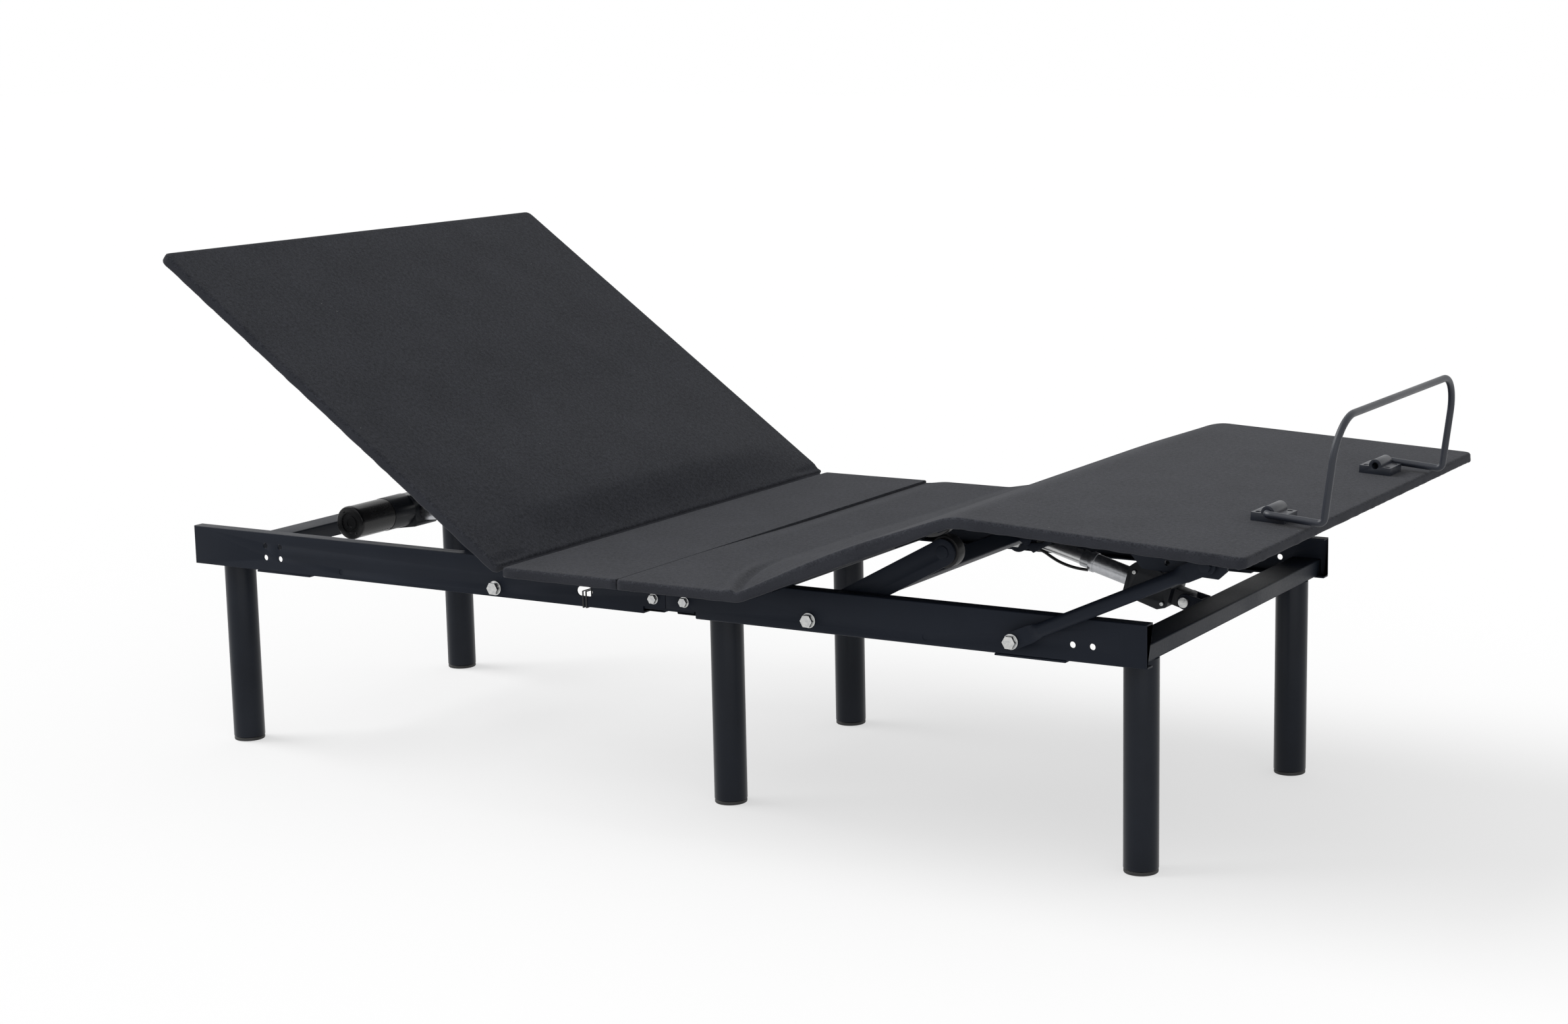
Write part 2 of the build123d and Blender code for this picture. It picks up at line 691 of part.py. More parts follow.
# Roller tracks under the back and thigh panels, bowed to follow the rollers
tracks = (
    ("back_tracks", back_side, -1, back_pivot_rel, back_arm, back_arm_flat, back_arm_turn, back_max,
     track_gap_back),
    ("thigh_tracks", thigh_side, 1, thigh_pivot_rel, thigh_arm, thigh_arm_flat, thigh_arm_turn, thigh_max,
     track_gap_thigh),
)
for name, frame, heading, pivot, arm, flat, ratio, most, gap in tracks:
    first = roller_path(0, pivot, arm, flat, ratio)
    middle = roller_path(most / 2, pivot, arm, flat, ratio)
    last = roller_path(most, pivot, arm, flat, ratio)
    centre = circle_centre(first, middle, last)
    bow = hypot(first[0] - centre[0], first[1] - centre[1]) - roller_radius - gap
    lip = under - 1
    reach = sqrt(bow * bow - (centre[1] - lip) ** 2)
    with BuildPart() as track:
        for sign in (-1, 1):
            with BuildSketch(frame.offset(sign * (arm_inside - roller_width - 1))) as outline:
                with BuildLine():
                    Polyline((centre[0] - reach, lip), (centre[0] - reach, under),
                             (centre[0] + reach, under), (centre[0] + reach, lip))
                    ThreePointArc((centre[0] + reach, lip), (centre[0], centre[1] - bow),
                                  (centre[0] - reach, lip))
                make_face()
            extrude(amount=sign * roller_width)
    save(track, name)

# Leg struts: tubes with flattened ends, on bolts outside the rails
bracket_thick = 5
bracket_in = strut_centre - strut_radius - strut_gap - bracket_thick
with BuildPart() as struts:
    for side, where in sides:
        for spot in (0, strut_length):
            inward = 1 if spot == 0 else -1
            with BuildSketch(strut_side.offset(-side * (strut_centre - tab_thick / 2))) as tab:
                with Locations((spot, 0)):
                    Circle(tab_width / 2)
                with Locations((spot + inward * 16, 0)):
                    Rectangle(32, tab_width)
            extrude(amount=-side * tab_thick)
        middle = Plane(origin=strut_side.from_local_coords((0, 0, -side * strut_centre)),
                       x_dir=(0, 1, 0), z_dir=strut_side.x_dir)
        with BuildSketch(middle.offset(50)) as tube:
            Circle(strut_radius)
        extrude(amount=strut_length - 100)
        for start, end in ((32, 50), (strut_length - 32, strut_length - 50)):
            with BuildSketch(middle.offset(start)) as flat_end:
                Rectangle(tab_thick, tab_width)
            with BuildSketch(middle.offset(end)) as round_end:
                Circle(strut_radius)
            loft()
        for spot, radius in ((0, pivot_radius + fit), (strut_length, pin_radius + fit)):
            with BuildSketch(strut_side.offset(-side * (strut_centre - 20))) as eye:
                with Locations((spot, 0)):
                    Circle(radius)
            extrude(amount=-side * 40, mode=Mode.SUBTRACT)
    for side, where in sides:
        outer = strut_centre + tab_thick / 2 + fit
        inner = bracket_in - 6
        across(strut_top[0], side * (outer + inner) / 2, strut_top[1], pin_radius, outer - inner)
        hex_across(strut_top[0], strut_top[1], side * outer, side * (outer + 6), 16)
        across(strut_top[0], side * (inner + 2.8), strut_top[1], 13, 5.6)
save(struts, "struts")

# Brackets under the leg panel that the struts push on
with BuildPart() as strut_brackets:
    for side, where in sides:
        with BuildSketch(leg_side.offset(-side * bracket_in)) as plate:
            with BuildLine():
                Polyline((222, under), (366, under), (366, -44), (354, -56), (240, -56), (222, -38),
                         close=True)
            make_face()
            with Locations((277, -43)):
                Circle(4, mode=Mode.SUBTRACT)
        extrude(amount=-side * bracket_thick)
        with BuildSketch(leg_side.offset(-side * bracket_in)) as window:
            for spot in strut_slot:
                with Locations(spot):
                    Circle(pin_radius + 0.8)
            make_hull()
        extrude(amount=-side * bracket_thick, mode=Mode.SUBTRACT)
        with BuildSketch(leg_side.offset(-side * (bracket_in - 30))) as flange:
            with Locations((294, under - 1.5)):
                Rectangle(144, 3)
        extrude(amount=-side * 30)
save(strut_brackets, "strut_brackets")

# Drive units: the same unit at both ends, turned to face each other
drives = (
    ("head", head_drive, head_drive_side, 1, -1, head_drive_y, head_reach, head_guide_end,
     back_drive_stroke, back_rest, leg_head_x + beam_width / 2),
    ("foot", foot_drive, foot_drive_side, -1, 1, foot_drive_y, foot_reach, foot_guide_end,
     thigh_drive_stroke, thigh_rest, leg_foot_x - beam_width / 2),
)
gear_screw_spots = ((30, -12), (86, -18.4), (86, 19), (42, 22))
for name, spot, frame, heading, motor_side, drive_y, reach, guide_end, stroke, rest, beam_face in drives:
    line = Plane(origin=(spot[0], drive_y, spot[1]), x_dir=(0, 1, 0), z_dir=frame.x_dir)
    toward = -heading * motor_side

    # Gear housing around the rear of the guide tube, with its motor boss and screw heads
    with BuildPart() as housing:
        with BuildSketch(frame.offset(-housing_half)) as body:
            with BuildLine():
                Polyline((22, -16), (36, -24), (housing_front, -22), (housing_front, 24),
                         (motor_along + 20, 34), (motor_along - 24, 34), (22, 16), close=True)
            make_face()
            fillet(body.vertices(), 5)
        extrude(amount=2 * housing_half)
        with BuildSketch(frame.offset(-12.5)) as tail:
            Circle(13)
            with Locations((15, 0)):
                Rectangle(30, 26)
        extrude(amount=25)
        with BuildSketch(frame.offset(toward * (housing_half - 1))) as boss:
            with Locations((motor_along, motor_above)):
                Circle(motor_radius + 0.6)
        extrude(amount=toward * (motor_boss + 1))
        with BuildSketch(frame.offset(-toward * housing_half)) as heads:
            with Locations(gear_screw_spots):
                Circle(4)
        extrude(amount=-toward * 2.4)
        with BuildSketch(frame.offset(-40)) as eye:
            Circle(pin_radius + fit)
        extrude(amount=80, mode=Mode.SUBTRACT)
        with BuildSketch(line.offset(50)) as well:
            Circle(guide_radius + fit)
        extrude(amount=100, mode=Mode.SUBTRACT)
        with BuildSketch(line.offset(36)) as seat:
            Circle(5 + fit)
        extrude(amount=30, mode=Mode.SUBTRACT)
    save(housing, name + "_gear_housing")

    # Motor on the housing's boss
    with BuildPart() as motor:
        with BuildSketch(frame.offset(toward * (housing_half + motor_boss))) as can:
            with Locations((motor_along, motor_above)):
                Circle(motor_radius)
        extrude(amount=toward * (motor_length - motor_boss - cap_length))
        with BuildSketch(frame.offset(toward * (housing_half + motor_length - cap_length))) as cap:
            with Locations((motor_along, motor_above)):
                Circle(motor_radius + 0.6)
        extrude(amount=toward * cap_length)
        with BuildSketch(frame.offset(toward * (housing_half + motor_length))) as recess:
            with Locations((motor_along, motor_above)):
                Circle(16)
        extrude(amount=-toward * 2.5, mode=Mode.SUBTRACT)
    save(motor, name + "_motor")

    # Guide tube with its ring and neck, lead screw, push rod, drive nut and rod end
    ring_at = guide_end - neck_length - ring_width
    with BuildPart() as guide:
        with BuildSketch(line.offset(50 + air)) as tube:
            Circle(guide_radius)
        extrude(amount=ring_at - 50 - air)
        with BuildSketch(line.offset(ring_at)) as band:
            Circle(guide_radius + 1.3)
        extrude(amount=ring_width)
        with BuildSketch(line.offset(ring_at)) as neck:
            Circle(rod_radius + neck_wall)
        extrude(amount=guide_end - ring_at)
        with BuildSketch(line.offset(40)) as hollow:
            Circle(rod_radius + 1.2)
        extrude(amount=ring_at - 40, mode=Mode.SUBTRACT)
        with BuildSketch(line.offset(40)) as mouth:
            Circle(rod_radius + fit)
        extrude(amount=guide_end, mode=Mode.SUBTRACT)
    save(guide, name + "_guide_tube")
    with BuildPart() as screw:
        with BuildSketch(line.offset(37)) as shaft:
            Circle(5)
        extrude(amount=guide_end - 20 - 37)
        with BuildSketch(line.offset(56)) as wheel:
            Circle(11)
        extrude(amount=10)
    save(screw, name + "_lead_screw")

    rear = 72 + stroke * radians(rest)
    with BuildPart() as rod:
        with BuildSketch(line.offset(rear)) as bar:
            Circle(rod_radius)
        extrude(amount=reach - rod_end_length - rear)
        with BuildSketch(line.offset(rear - 1)) as thread:
            Circle(5 + fit)
        extrude(amount=20, mode=Mode.SUBTRACT)
        with BuildSketch(line.offset(rear + 14)) as hollow:
            Circle(rod_radius - 2.5)
        extrude(amount=reach - 18 - rear - 14, mode=Mode.SUBTRACT)
    save(rod, name + "_push_rod")
    with BuildPart() as rod_end:
        with BuildSketch(frame.offset(-11)) as eye:
            with Locations((reach, 0)):
                Circle(11)
            with Locations((reach - rod_end_length / 2, 0)):
                Rectangle(rod_end_length, 22)
        extrude(amount=22)
        with BuildSketch(frame.offset(-22)) as pin:
            with Locations((reach, 0)):
                Circle(pin_radius)
        extrude(amount=44)
        for sign in (-1, 1):
            with BuildSketch(frame.offset(sign * 18.5)) as clip:
                with Locations((reach, 0)):
                    Circle(9)
            extrude(amount=sign * 2)
    save(rod_end, name + "_rod_end")

# Clevises on the beams with their pins
with BuildPart() as clevises:
    for name, spot, frame, heading, motor_side, drive_y, reach, guide_end, stroke, rest, beam_face in drives:
        with BuildSketch(Plane.XZ.offset(-drive_y)) as strap:
            with Locations((beam_face + heading * 1.5, beam_bottom + beam_height / 2)):
                Rectangle(3, beam_height)
        extrude(amount=ear_inner + ear_thick, both=True)
        for sign in (-1, 1):
            with BuildSketch(Plane.XZ.offset(sign * ear_inner - drive_y)) as ear:
                with Locations(spot):
                    Circle(12)
                with BuildLine():
                    Polyline((beam_face, beam_bottom), (beam_face, beam_top),
                             (spot[0], spot[1] + 12), (spot[0], spot[1] - 12), close=True)
                make_face()
                with Locations(spot):
                    Circle(pin_radius + fit, mode=Mode.SUBTRACT)
            extrude(amount=sign * ear_thick)
save(clevises, "drive_clevises")
with BuildPart() as clevis_pins:
    for name, spot, frame, heading, motor_side, drive_y, reach, guide_end, stroke, rest, beam_face in drives:
        across(spot[0], drive_y, spot[1], pin_radius, 2 * (ear_inner + ear_thick) + 6)
        across(spot[0], drive_y - (ear_inner + ear_thick + 3), spot[1], 8, 6)
save(clevis_pins, "drive_clevis_pins")

# Mattress retainer: sockets on the leg panel, their screws and the bent bar
with BuildPart() as sockets:
    for side, where in sides:
        with Locations(leg_plan.location * Pos(socket_along, side * socket_across, half)):
            Box(socket_side, socket_side, 2 * socket_height)
        with BuildSketch(leg_side.offset(side * socket_across - socket_side / 2)) as barrel:
            with Locations((socket_along, bar_above)):
                Circle(bar_radius + socket_wall)
            with Locations((socket_along, (half + bar_above) / 2)):
                Rectangle(2 * (bar_radius + socket_wall), bar_above - half)
        extrude(amount=socket_side)
    with Locations(leg_plan.location * Pos(socket_along, 0, half - socket_height)):
        Box(2 * socket_side, deck_width, 2 * socket_height, mode=Mode.SUBTRACT)
    with BuildSketch(leg_side) as bore:
        with Locations((socket_along, bar_above)):
            Circle(bar_radius + fit)
    extrude(bore.sketch, amount=400, both=True, mode=Mode.SUBTRACT)
    for along, y in socket_screw_spots:
        with Locations(leg_plan.location * Pos(along, y, half + socket_height)):
            Cylinder(2 + fit, 4 * socket_height, mode=Mode.SUBTRACT)
            Cylinder(4.2, 2 * (socket_height - screw_seat), mode=Mode.SUBTRACT)
save(sockets, "retainer_sockets")

with BuildPart() as socket_screws:
    for along, y in socket_screw_spots:
        with Locations(leg_plan.location * Pos(along, y, half + screw_seat - 6)):
            Cylinder(2, 12)
        with Locations(leg_plan.location * Pos(along, y, half + screw_seat + 1.2)):
            Cylinder(4, 2.4)
save(socket_screws, "retainer_screws")

with BuildPart() as bar:
    with BuildLine(leg_plan) as path:
        bend = 9
        sweep_corner = 60
        bar_end = socket_across + socket_side / 2 - bar_hold
        mid_along = (bar_bend_along + bar_top_along) / 2
        mid_above = bar_above + bar_height / 2
        FilletPolyline(
            (socket_along, -bar_end, bar_above),
            (socket_along, -bar_across, bar_above),
            (bar_bend_along, -bar_across, bar_above - bar_drop),
            (mid_along, -bar_across, mid_above),
            radius=bend,
        )
        FilletPolyline(
            (mid_along, -bar_across, mid_above),
            (bar_top_along, -bar_across, bar_above + bar_height),
            (bar_top_along, bar_across, bar_above + bar_height),
            (mid_along, bar_across, mid_above),
            radius=sweep_corner,
        )
        FilletPolyline(
            (mid_along, bar_across, mid_above),
            (bar_bend_along, bar_across, bar_above - bar_drop),
            (socket_along, bar_across, bar_above),
            (socket_along, bar_end, bar_above),
            radius=bend,
        )
    start = leg_plan.from_local_coords((socket_along, -bar_end, bar_above))
    with BuildSketch(Plane(origin=start, x_dir=leg_plan.x_dir, z_dir=(0, -1, 0))) as section:
        Circle(bar_radius)
    sweep(section.sketch, path=path.wire())
save(bar, "retainer_bar")

# Lead from the ring on the foot drive's guide tube to the rod end
lead_route = [
    (166, -10.6, -15.2),
    (180, -13.8, -15.8),
    (197, -15.8, -15.4),
    (214, -16.3, -13.5),
    (231, -14.5, -11),
    (248, -10.8, -8.6),
    (foot_reach - rod_end_length, -10.8, -8.6),
]


def bend_radii(points):
    """Radius of the arc at each inner point of a cord's route."""
    spots = [Vector(point) for point in points]
    runs = [after - before for before, after in zip(spots, spots[1:])]
    found = []
    for before, after in zip(runs, runs[1:]):
        shorter = min(before.length, after.length)
        found.append(0.45 * shorter / tan(radians(before.get_angle(after)) / 2))
    return found


lead_bends = bend_radii(lead_route)
print("lead bend radii", [round(bend, 1) for bend in lead_bends])
with BuildPart() as lead:
    with BuildLine(foot_drive_side) as run:
        FilletPolyline(*lead_route, radius=lead_bends)
    start = foot_drive_side.from_local_coords(lead_route[0])
    ahead = foot_drive_side.from_local_coords(lead_route[1]) - start
    with BuildSketch(Plane(origin=start, x_dir=(0, 1, 0), z_dir=ahead)) as section:
        Circle(lead_radius)
    sweep(section.sketch, path=run.wire())
print("lead length", round(run.wire().length, 1), "volume", round(lead.part.volume, 1))
save(lead, "drive_lead")

# Ties through the slot in the near rail, round its bottom flange
with BuildPart() as cable_tie:
    for shift in (-3, 3):
        with BuildSketch(Plane.YZ.offset(tie_slot_x + shift - 1.2)) as loop:
            with Locations((-(rail_out - rail_flange / 2), rail_bottom + 12)):
                Rectangle(rail_flange + 3, 27)
                Rectangle(rail_flange + 0.3, 24.3, mode=Mode.SUBTRACT)
        extrude(amount=2.4)
save(cable_tie, "cable_ties")
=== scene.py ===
"""Looks of an adjustable bed base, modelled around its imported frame.

Metres, Z up, head end at -X and near side at -Y, as in the frame.
"""
import json
import logging
import math
from dataclasses import dataclass
from enum import Enum
from typing import Callable, Iterable, Sequence

import bmesh
import bpy
from mathutils import Matrix, Vector, noise

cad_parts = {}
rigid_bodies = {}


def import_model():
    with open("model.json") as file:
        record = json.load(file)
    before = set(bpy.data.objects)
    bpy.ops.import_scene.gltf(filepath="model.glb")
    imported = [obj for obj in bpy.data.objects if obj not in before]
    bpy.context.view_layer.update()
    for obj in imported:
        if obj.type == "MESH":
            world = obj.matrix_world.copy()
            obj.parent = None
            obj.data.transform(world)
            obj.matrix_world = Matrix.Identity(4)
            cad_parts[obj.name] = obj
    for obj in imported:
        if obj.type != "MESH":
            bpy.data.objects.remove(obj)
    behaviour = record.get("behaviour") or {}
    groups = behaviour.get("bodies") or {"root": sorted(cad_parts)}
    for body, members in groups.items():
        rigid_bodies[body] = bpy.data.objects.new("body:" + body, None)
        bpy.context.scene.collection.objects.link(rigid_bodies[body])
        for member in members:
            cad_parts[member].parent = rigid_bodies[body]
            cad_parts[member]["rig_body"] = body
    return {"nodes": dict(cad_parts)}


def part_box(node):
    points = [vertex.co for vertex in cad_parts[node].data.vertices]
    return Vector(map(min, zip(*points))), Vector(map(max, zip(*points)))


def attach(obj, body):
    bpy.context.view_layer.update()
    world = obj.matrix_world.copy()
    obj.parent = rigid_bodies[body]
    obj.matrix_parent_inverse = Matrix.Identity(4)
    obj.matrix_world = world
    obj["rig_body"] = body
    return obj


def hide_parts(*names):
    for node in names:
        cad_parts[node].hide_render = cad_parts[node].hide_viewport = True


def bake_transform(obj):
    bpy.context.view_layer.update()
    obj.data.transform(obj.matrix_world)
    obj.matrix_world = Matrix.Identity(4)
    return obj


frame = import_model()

LOG = logging.getLogger("bed_base")
Triple = tuple[float, float, float]

# Deck sizes, as in the frame
DECK_WIDTH = 0.965
BOARD = 0.0155
DECK_TOP = 0.3945
DECK_MID = DECK_TOP - BOARD / 2
BACK_FOLD = -0.269
SEAT_SPLIT = -0.0534
SEAT_SLIT = 0.00005
THIGH_FOLD = 0.159
BACK_ANGLE = 35.3
THIGH_ANGLE = 21.87
LEG_ANGLE = -2.8
BACK_LENGTH = 0.791
THIGH_LENGTH = 0.37466
LEG_LENGTH = 0.44
FOLD_GAP = 0.0055
RAIL_OUT = 0.3575
RAIL_TOP = DECK_TOP - BOARD
RAIL_BOTTOM = RAIL_TOP - 0.064

# Felt cover sizes
CELL = 0.005
TOP_RIM = 0.0045
LOW_RIM = 0.0035
HEM = 0.012

# Room under the covers, so that they clear the rails
UNDER_HALF = 0.472
UNDER_ROOM = 0.0003
KNEE_ROOM = 0.0021
KNEE_ROOM_ENDS = (0.03, 0.048)

# Cuts across a cover's underside at each bend, to each side of its middle
CUTS = 8
CUT_STEP = 0.006

# Distances below which two places are taken to be one
TINY = 1e-6
CLOSE = 1e-4
WELD = 2e-6

# Shortest corner of sheet or tube that is rounded as a fold
LONG_EDGE = 0.03

# Degrees: turn of a flat face's inner edges, of an edge to be rounded, of a folded corner
FLAT_TURN = 0.4
SHARP_TURN = 50.0
FOLD_TURN = 60.0

# Colour sockets of a Mix node
MIX_FIRST, MIX_SECOND, MIX_RESULT = 6, 7, 2


class Texture(Enum):
    """Surface patterns that finishes share."""

    FELT = "felt_fibre"
    COAT = "powder_coat"
    METAL = "drawn_metal"
    GRAIN = "moulded_grain"


class End(Enum):
    """How a felt cover ends: its corner radius and how far its edge rolls out."""

    OUTER = (0.012, 1.0)
    FOLD = (0.0065, 1.0)
    SEAM = (0.008, 0.15)
    JOINED = (0.0, 0.0)


class NodeKit:
    """Adds and joins nodes in one node tree."""

    def __init__(self, tree: bpy.types.NodeTree) -> None:
        """Keep the tree that nodes go into.

        Args:
            tree: the material's or group's node tree.
        """
        self.tree = tree

    def add(self, kind: str, **settings: object) -> bpy.types.Node:
        """Add one node.

        Args:
            kind: the node's type name.
            **settings: attributes to set on it.

        Returns:
            The new node.
        """
        node = self.tree.nodes.new(kind)
        for name, value in settings.items():
            setattr(node, name, value)
        return node

    def join(self, start: bpy.types.NodeSocket, end: bpy.types.NodeSocket) -> None:
        """Link two sockets."""
        self.tree.links.new(start, end)

    def feed(self, socket: bpy.types.NodeSocket, value: object) -> None:
        """Link a socket to another, or set its own value.

        Args:
            socket: the input socket.
            value: an output socket or a plain value.
        """
        if isinstance(value, bpy.types.NodeSocket):
            self.join(value, socket)
        else:
            socket.default_value = value

    def math(self, operation: str, first: object, second: object = 0.0) -> bpy.types.NodeSocket:
        """Combine two values.

        Args:
            operation: the Math node's operation.
            first: a socket or number.
            second: a socket or number.

        Returns:
            The result's socket.
        """
        node = self.add("ShaderNodeMath", operation=operation)
        self.feed(node.inputs[0], first)
        self.feed(node.inputs[1], second)
        return node.outputs[0]

    def weigh(self, first: object, share: float, second: object, rest: float) -> bpy.types.NodeSocket:
        """Sum of two values, each times its share."""
        return self.math("ADD", self.math("MULTIPLY", first, share), self.math("MULTIPLY", second, rest))

    def sway(self, base: object, value: object, size: object) -> bpy.types.NodeSocket:
        """A base value, moved by how far a pattern is from its middle."""
        return self.math("ADD", base, self.math("MULTIPLY", self.math("SUBTRACT", value, 0.5), size))

    def blend(self, factor: object, first: object, second: object) -> bpy.types.NodeSocket:
        """Mix two colours.

        Args:
            factor: share of the second colour.
            first: colour or socket.
            second: colour or socket.

        Returns:
            The mixed colour's socket.
        """
        node = self.add("ShaderNodeMix", data_type="RGBA")
        self.feed(node.inputs[0], factor)
        self.feed(node.inputs[MIX_FIRST], first)
        self.feed(node.inputs[MIX_SECOND], second)
        return node.outputs[MIX_RESULT]

    def noise(self, vector: object, scale: float, detail: float = 2.0) -> bpy.types.NodeSocket:
        """Noise pattern over a position.

        Args:
            vector: the position's socket.
            scale: how fine it is, per metre.
            detail: octaves.

        Returns:
            The noise value's socket.
        """
        node = self.add("ShaderNodeTexNoise")
        self.feed(node.inputs["Vector"], vector)
        node.inputs["Scale"].default_value = scale
        node.inputs["Detail"].default_value = detail
        return node.outputs[0]

    def stretched(self, vector: object, factors: Triple, detail: float = 1.0) -> bpy.types.NodeSocket:
        """Noise drawn out along some axes.

        Args:
            vector: the position's socket.
            factors: scale along each axis, per metre.
            detail: octaves.

        Returns:
            The noise value's socket.
        """
        node = self.add("ShaderNodeVectorMath", operation="MULTIPLY")
        self.feed(node.inputs[0], vector)
        node.inputs[1].default_value = factors
        return self.noise(node.outputs[0], 1.0, detail)

    def spread(self, value: object, low: float, high: float, to_low: float,
               to_high: float) -> bpy.types.NodeSocket:
        """Map a value from one range to another, held at its ends.

        Args:
            value: socket to map.
            low: start of its range.
            high: end of its range.
            to_low: result at the start.
            to_high: result at the end.

        Returns:
            The mapped value's socket.
        """
        node = self.add("ShaderNodeMapRange")
        self.feed(node.inputs[0], value)
        for index, number in enumerate((low, high, to_low, to_high), 1):
            node.inputs[index].default_value = number
        return node.outputs[0]


class TextureGroups:
    """The shared surface patterns, each built once as a node group."""

    def __init__(self) -> None:
        """Start with none built."""
        self.made: dict[Texture, bpy.types.NodeTree] = {}

    def get(self, texture: Texture) -> bpy.types.NodeTree:
        """Return a pattern's group, building it the first time.

        Args:
            texture: which pattern.

        Returns:
            The node group.
        """
        if texture not in self.made:
            self.made[texture] = self.build(texture)
        return self.made[texture]

    def build(self, texture: Texture) -> bpy.types.NodeTree:
        """Build one pattern's group.

        Args:
            texture: which pattern.

        Returns:
            The node group, with Color, Mask and Height outputs.
        """
        tree = bpy.data.node_groups.new(texture.value, "ShaderNodeTree")
        for name, way, kind in (
            ("Position", "INPUT", "Vector"), ("Dark", "INPUT", "Color"), ("Light", "INPUT", "Color"),
            ("Color", "OUTPUT", "Color"), ("Mask", "OUTPUT", "Float"), ("Height", "OUTPUT", "Float"),
        ):
            tree.interface.new_socket(name, in_out=way, socket_type="NodeSocket" + kind)
        kit = NodeKit(tree)
        source = kit.add("NodeGroupInput")
        sink = kit.add("NodeGroupOutput")
        draw = {
            Texture.FELT: self.felt,
            Texture.COAT: self.coat,
            Texture.METAL: self.metal,
            Texture.GRAIN: self.grain,
        }[texture]
        for socket, value in zip(sink.inputs, draw(kit, *source.outputs[:3])):
            kit.join(value, socket)
        return tree

    def felt(self, kit: NodeKit, position: object, dark: object, light: object) -> tuple:
        """Pressed fibres with stray lint.

        Args:
            kit: the group's nodes.
            position: position socket.
            dark: darker colour.
            light: lighter colour.

        Returns:
            Colour, mask and height sockets.
        """
        fine = kit.noise(position, 420.0, 4.0)
        fibre = kit.math(
            "MAXIMUM",
            kit.stretched(position, (1500.0, 190.0, 800.0)),
            kit.stretched(position, (190.0, 1500.0, 800.0)),
        )
        cloud = kit.noise(position, 11.0, 3.0)
        clump = kit.noise(position, 150.0, 3.0)
        parts = kit.add("ShaderNodeSeparateXYZ")
        kit.feed(parts.inputs[0], position)
        level = kit.spread(parts.outputs[2], 0.001, 0.005, 0.36, 0.02)
        nap = kit.spread(parts.outputs[2], 0.001, 0.006, 1.0, 0.2)
        mask = kit.sway(0.5, kit.weigh(fine, 0.5, fibre, 0.5), nap)
        mixed = kit.sway(kit.sway(mask, cloud, 0.14), clump, level)
        colour = kit.blend(kit.spread(mixed, 0.38, 0.7, 0.0, 1.0), dark, light)
        cells = kit.add("ShaderNodeTexVoronoi")
        kit.feed(cells.inputs["Vector"], position)
        cells.inputs["Scale"].default_value = 42.0
        rare = kit.add("ShaderNodeSeparateColor")
        kit.join(cells.outputs["Color"], rare.inputs[0])
        near = kit.spread(cells.outputs["Distance"], 0.02, 0.05, 1.0, 0.0)
        lint = kit.math("MULTIPLY", near, kit.math("GREATER_THAN", rare.outputs[0], 0.94))
        colour = kit.blend(kit.math("MULTIPLY", lint, 0.55), colour, (0.3, 0.3, 0.3, 1.0))
        return colour, mask, mask

    def coat(self, kit: NodeKit, position: object, dark: object, light: object) -> tuple:
        """Baked powder coat with a faint orange peel.

        Args:
            kit: the group's nodes.
            position: position socket.
            dark: darker colour.
            light: lighter colour.

        Returns:
            Colour, mask and height sockets.
        """
        peel = kit.noise(position, 300.0, 2.0)
        grit = kit.noise(position, 2600.0, 1.0)
        cloud = kit.noise(position, 7.0, 3.0)
        mixed = kit.weigh(cloud, 0.65, grit, 0.35)
        colour = kit.blend(kit.spread(mixed, 0.35, 0.68, 0.0, 1.0), dark, light)
        return colour, kit.weigh(cloud, 0.7, peel, 0.3), kit.weigh(peel, 0.75, grit, 0.25)

    def metal(self, kit: NodeKit, position: object, dark: object, light: object) -> tuple:
        """Drawn or plated metal with fine streaks and a patchy tone.

        Args:
            kit: the group's nodes.
            position: position socket.
            dark: darker colour.
            light: lighter colour.

        Returns:
            Colour, mask and height sockets.
        """
        streak = kit.stretched(position, (120.0, 2400.0, 2400.0), 2.0)
        patch = kit.noise(position, 190.0, 3.0)
        mask = kit.weigh(streak, 0.45, patch, 0.55)
        colour = kit.blend(kit.spread(mask, 0.35, 0.65, 0.0, 1.0), dark, light)
        return colour, mask, streak

    def grain(self, kit: NodeKit, position: object, dark: object, light: object) -> tuple:
        """Moulded plastic with a fine spark grain and faint scuffs.

        Args:
            kit: the group's nodes.
            position: position socket.
            dark: darker colour.
            light: lighter colour.

        Returns:
            Colour, mask and height sockets.
        """
        spark = kit.noise(position, 1700.0, 2.0)
        cloud = kit.noise(position, 14.0, 3.0)
        scuff = kit.spread(kit.stretched(position, (420.0, 420.0, 60.0), 3.0), 0.62, 0.75, 0.0, 1.0)
        mixed = kit.math("ADD", kit.weigh(cloud, 0.6, spark, 0.4), kit.math("MULTIPLY", scuff, 0.18))
        colour = kit.blend(kit.spread(mixed, 0.35, 0.75, 0.0, 1.0), dark, light)
        return colour, kit.weigh(cloud, 0.5, scuff, 0.5), spark


GROUPS = TextureGroups()


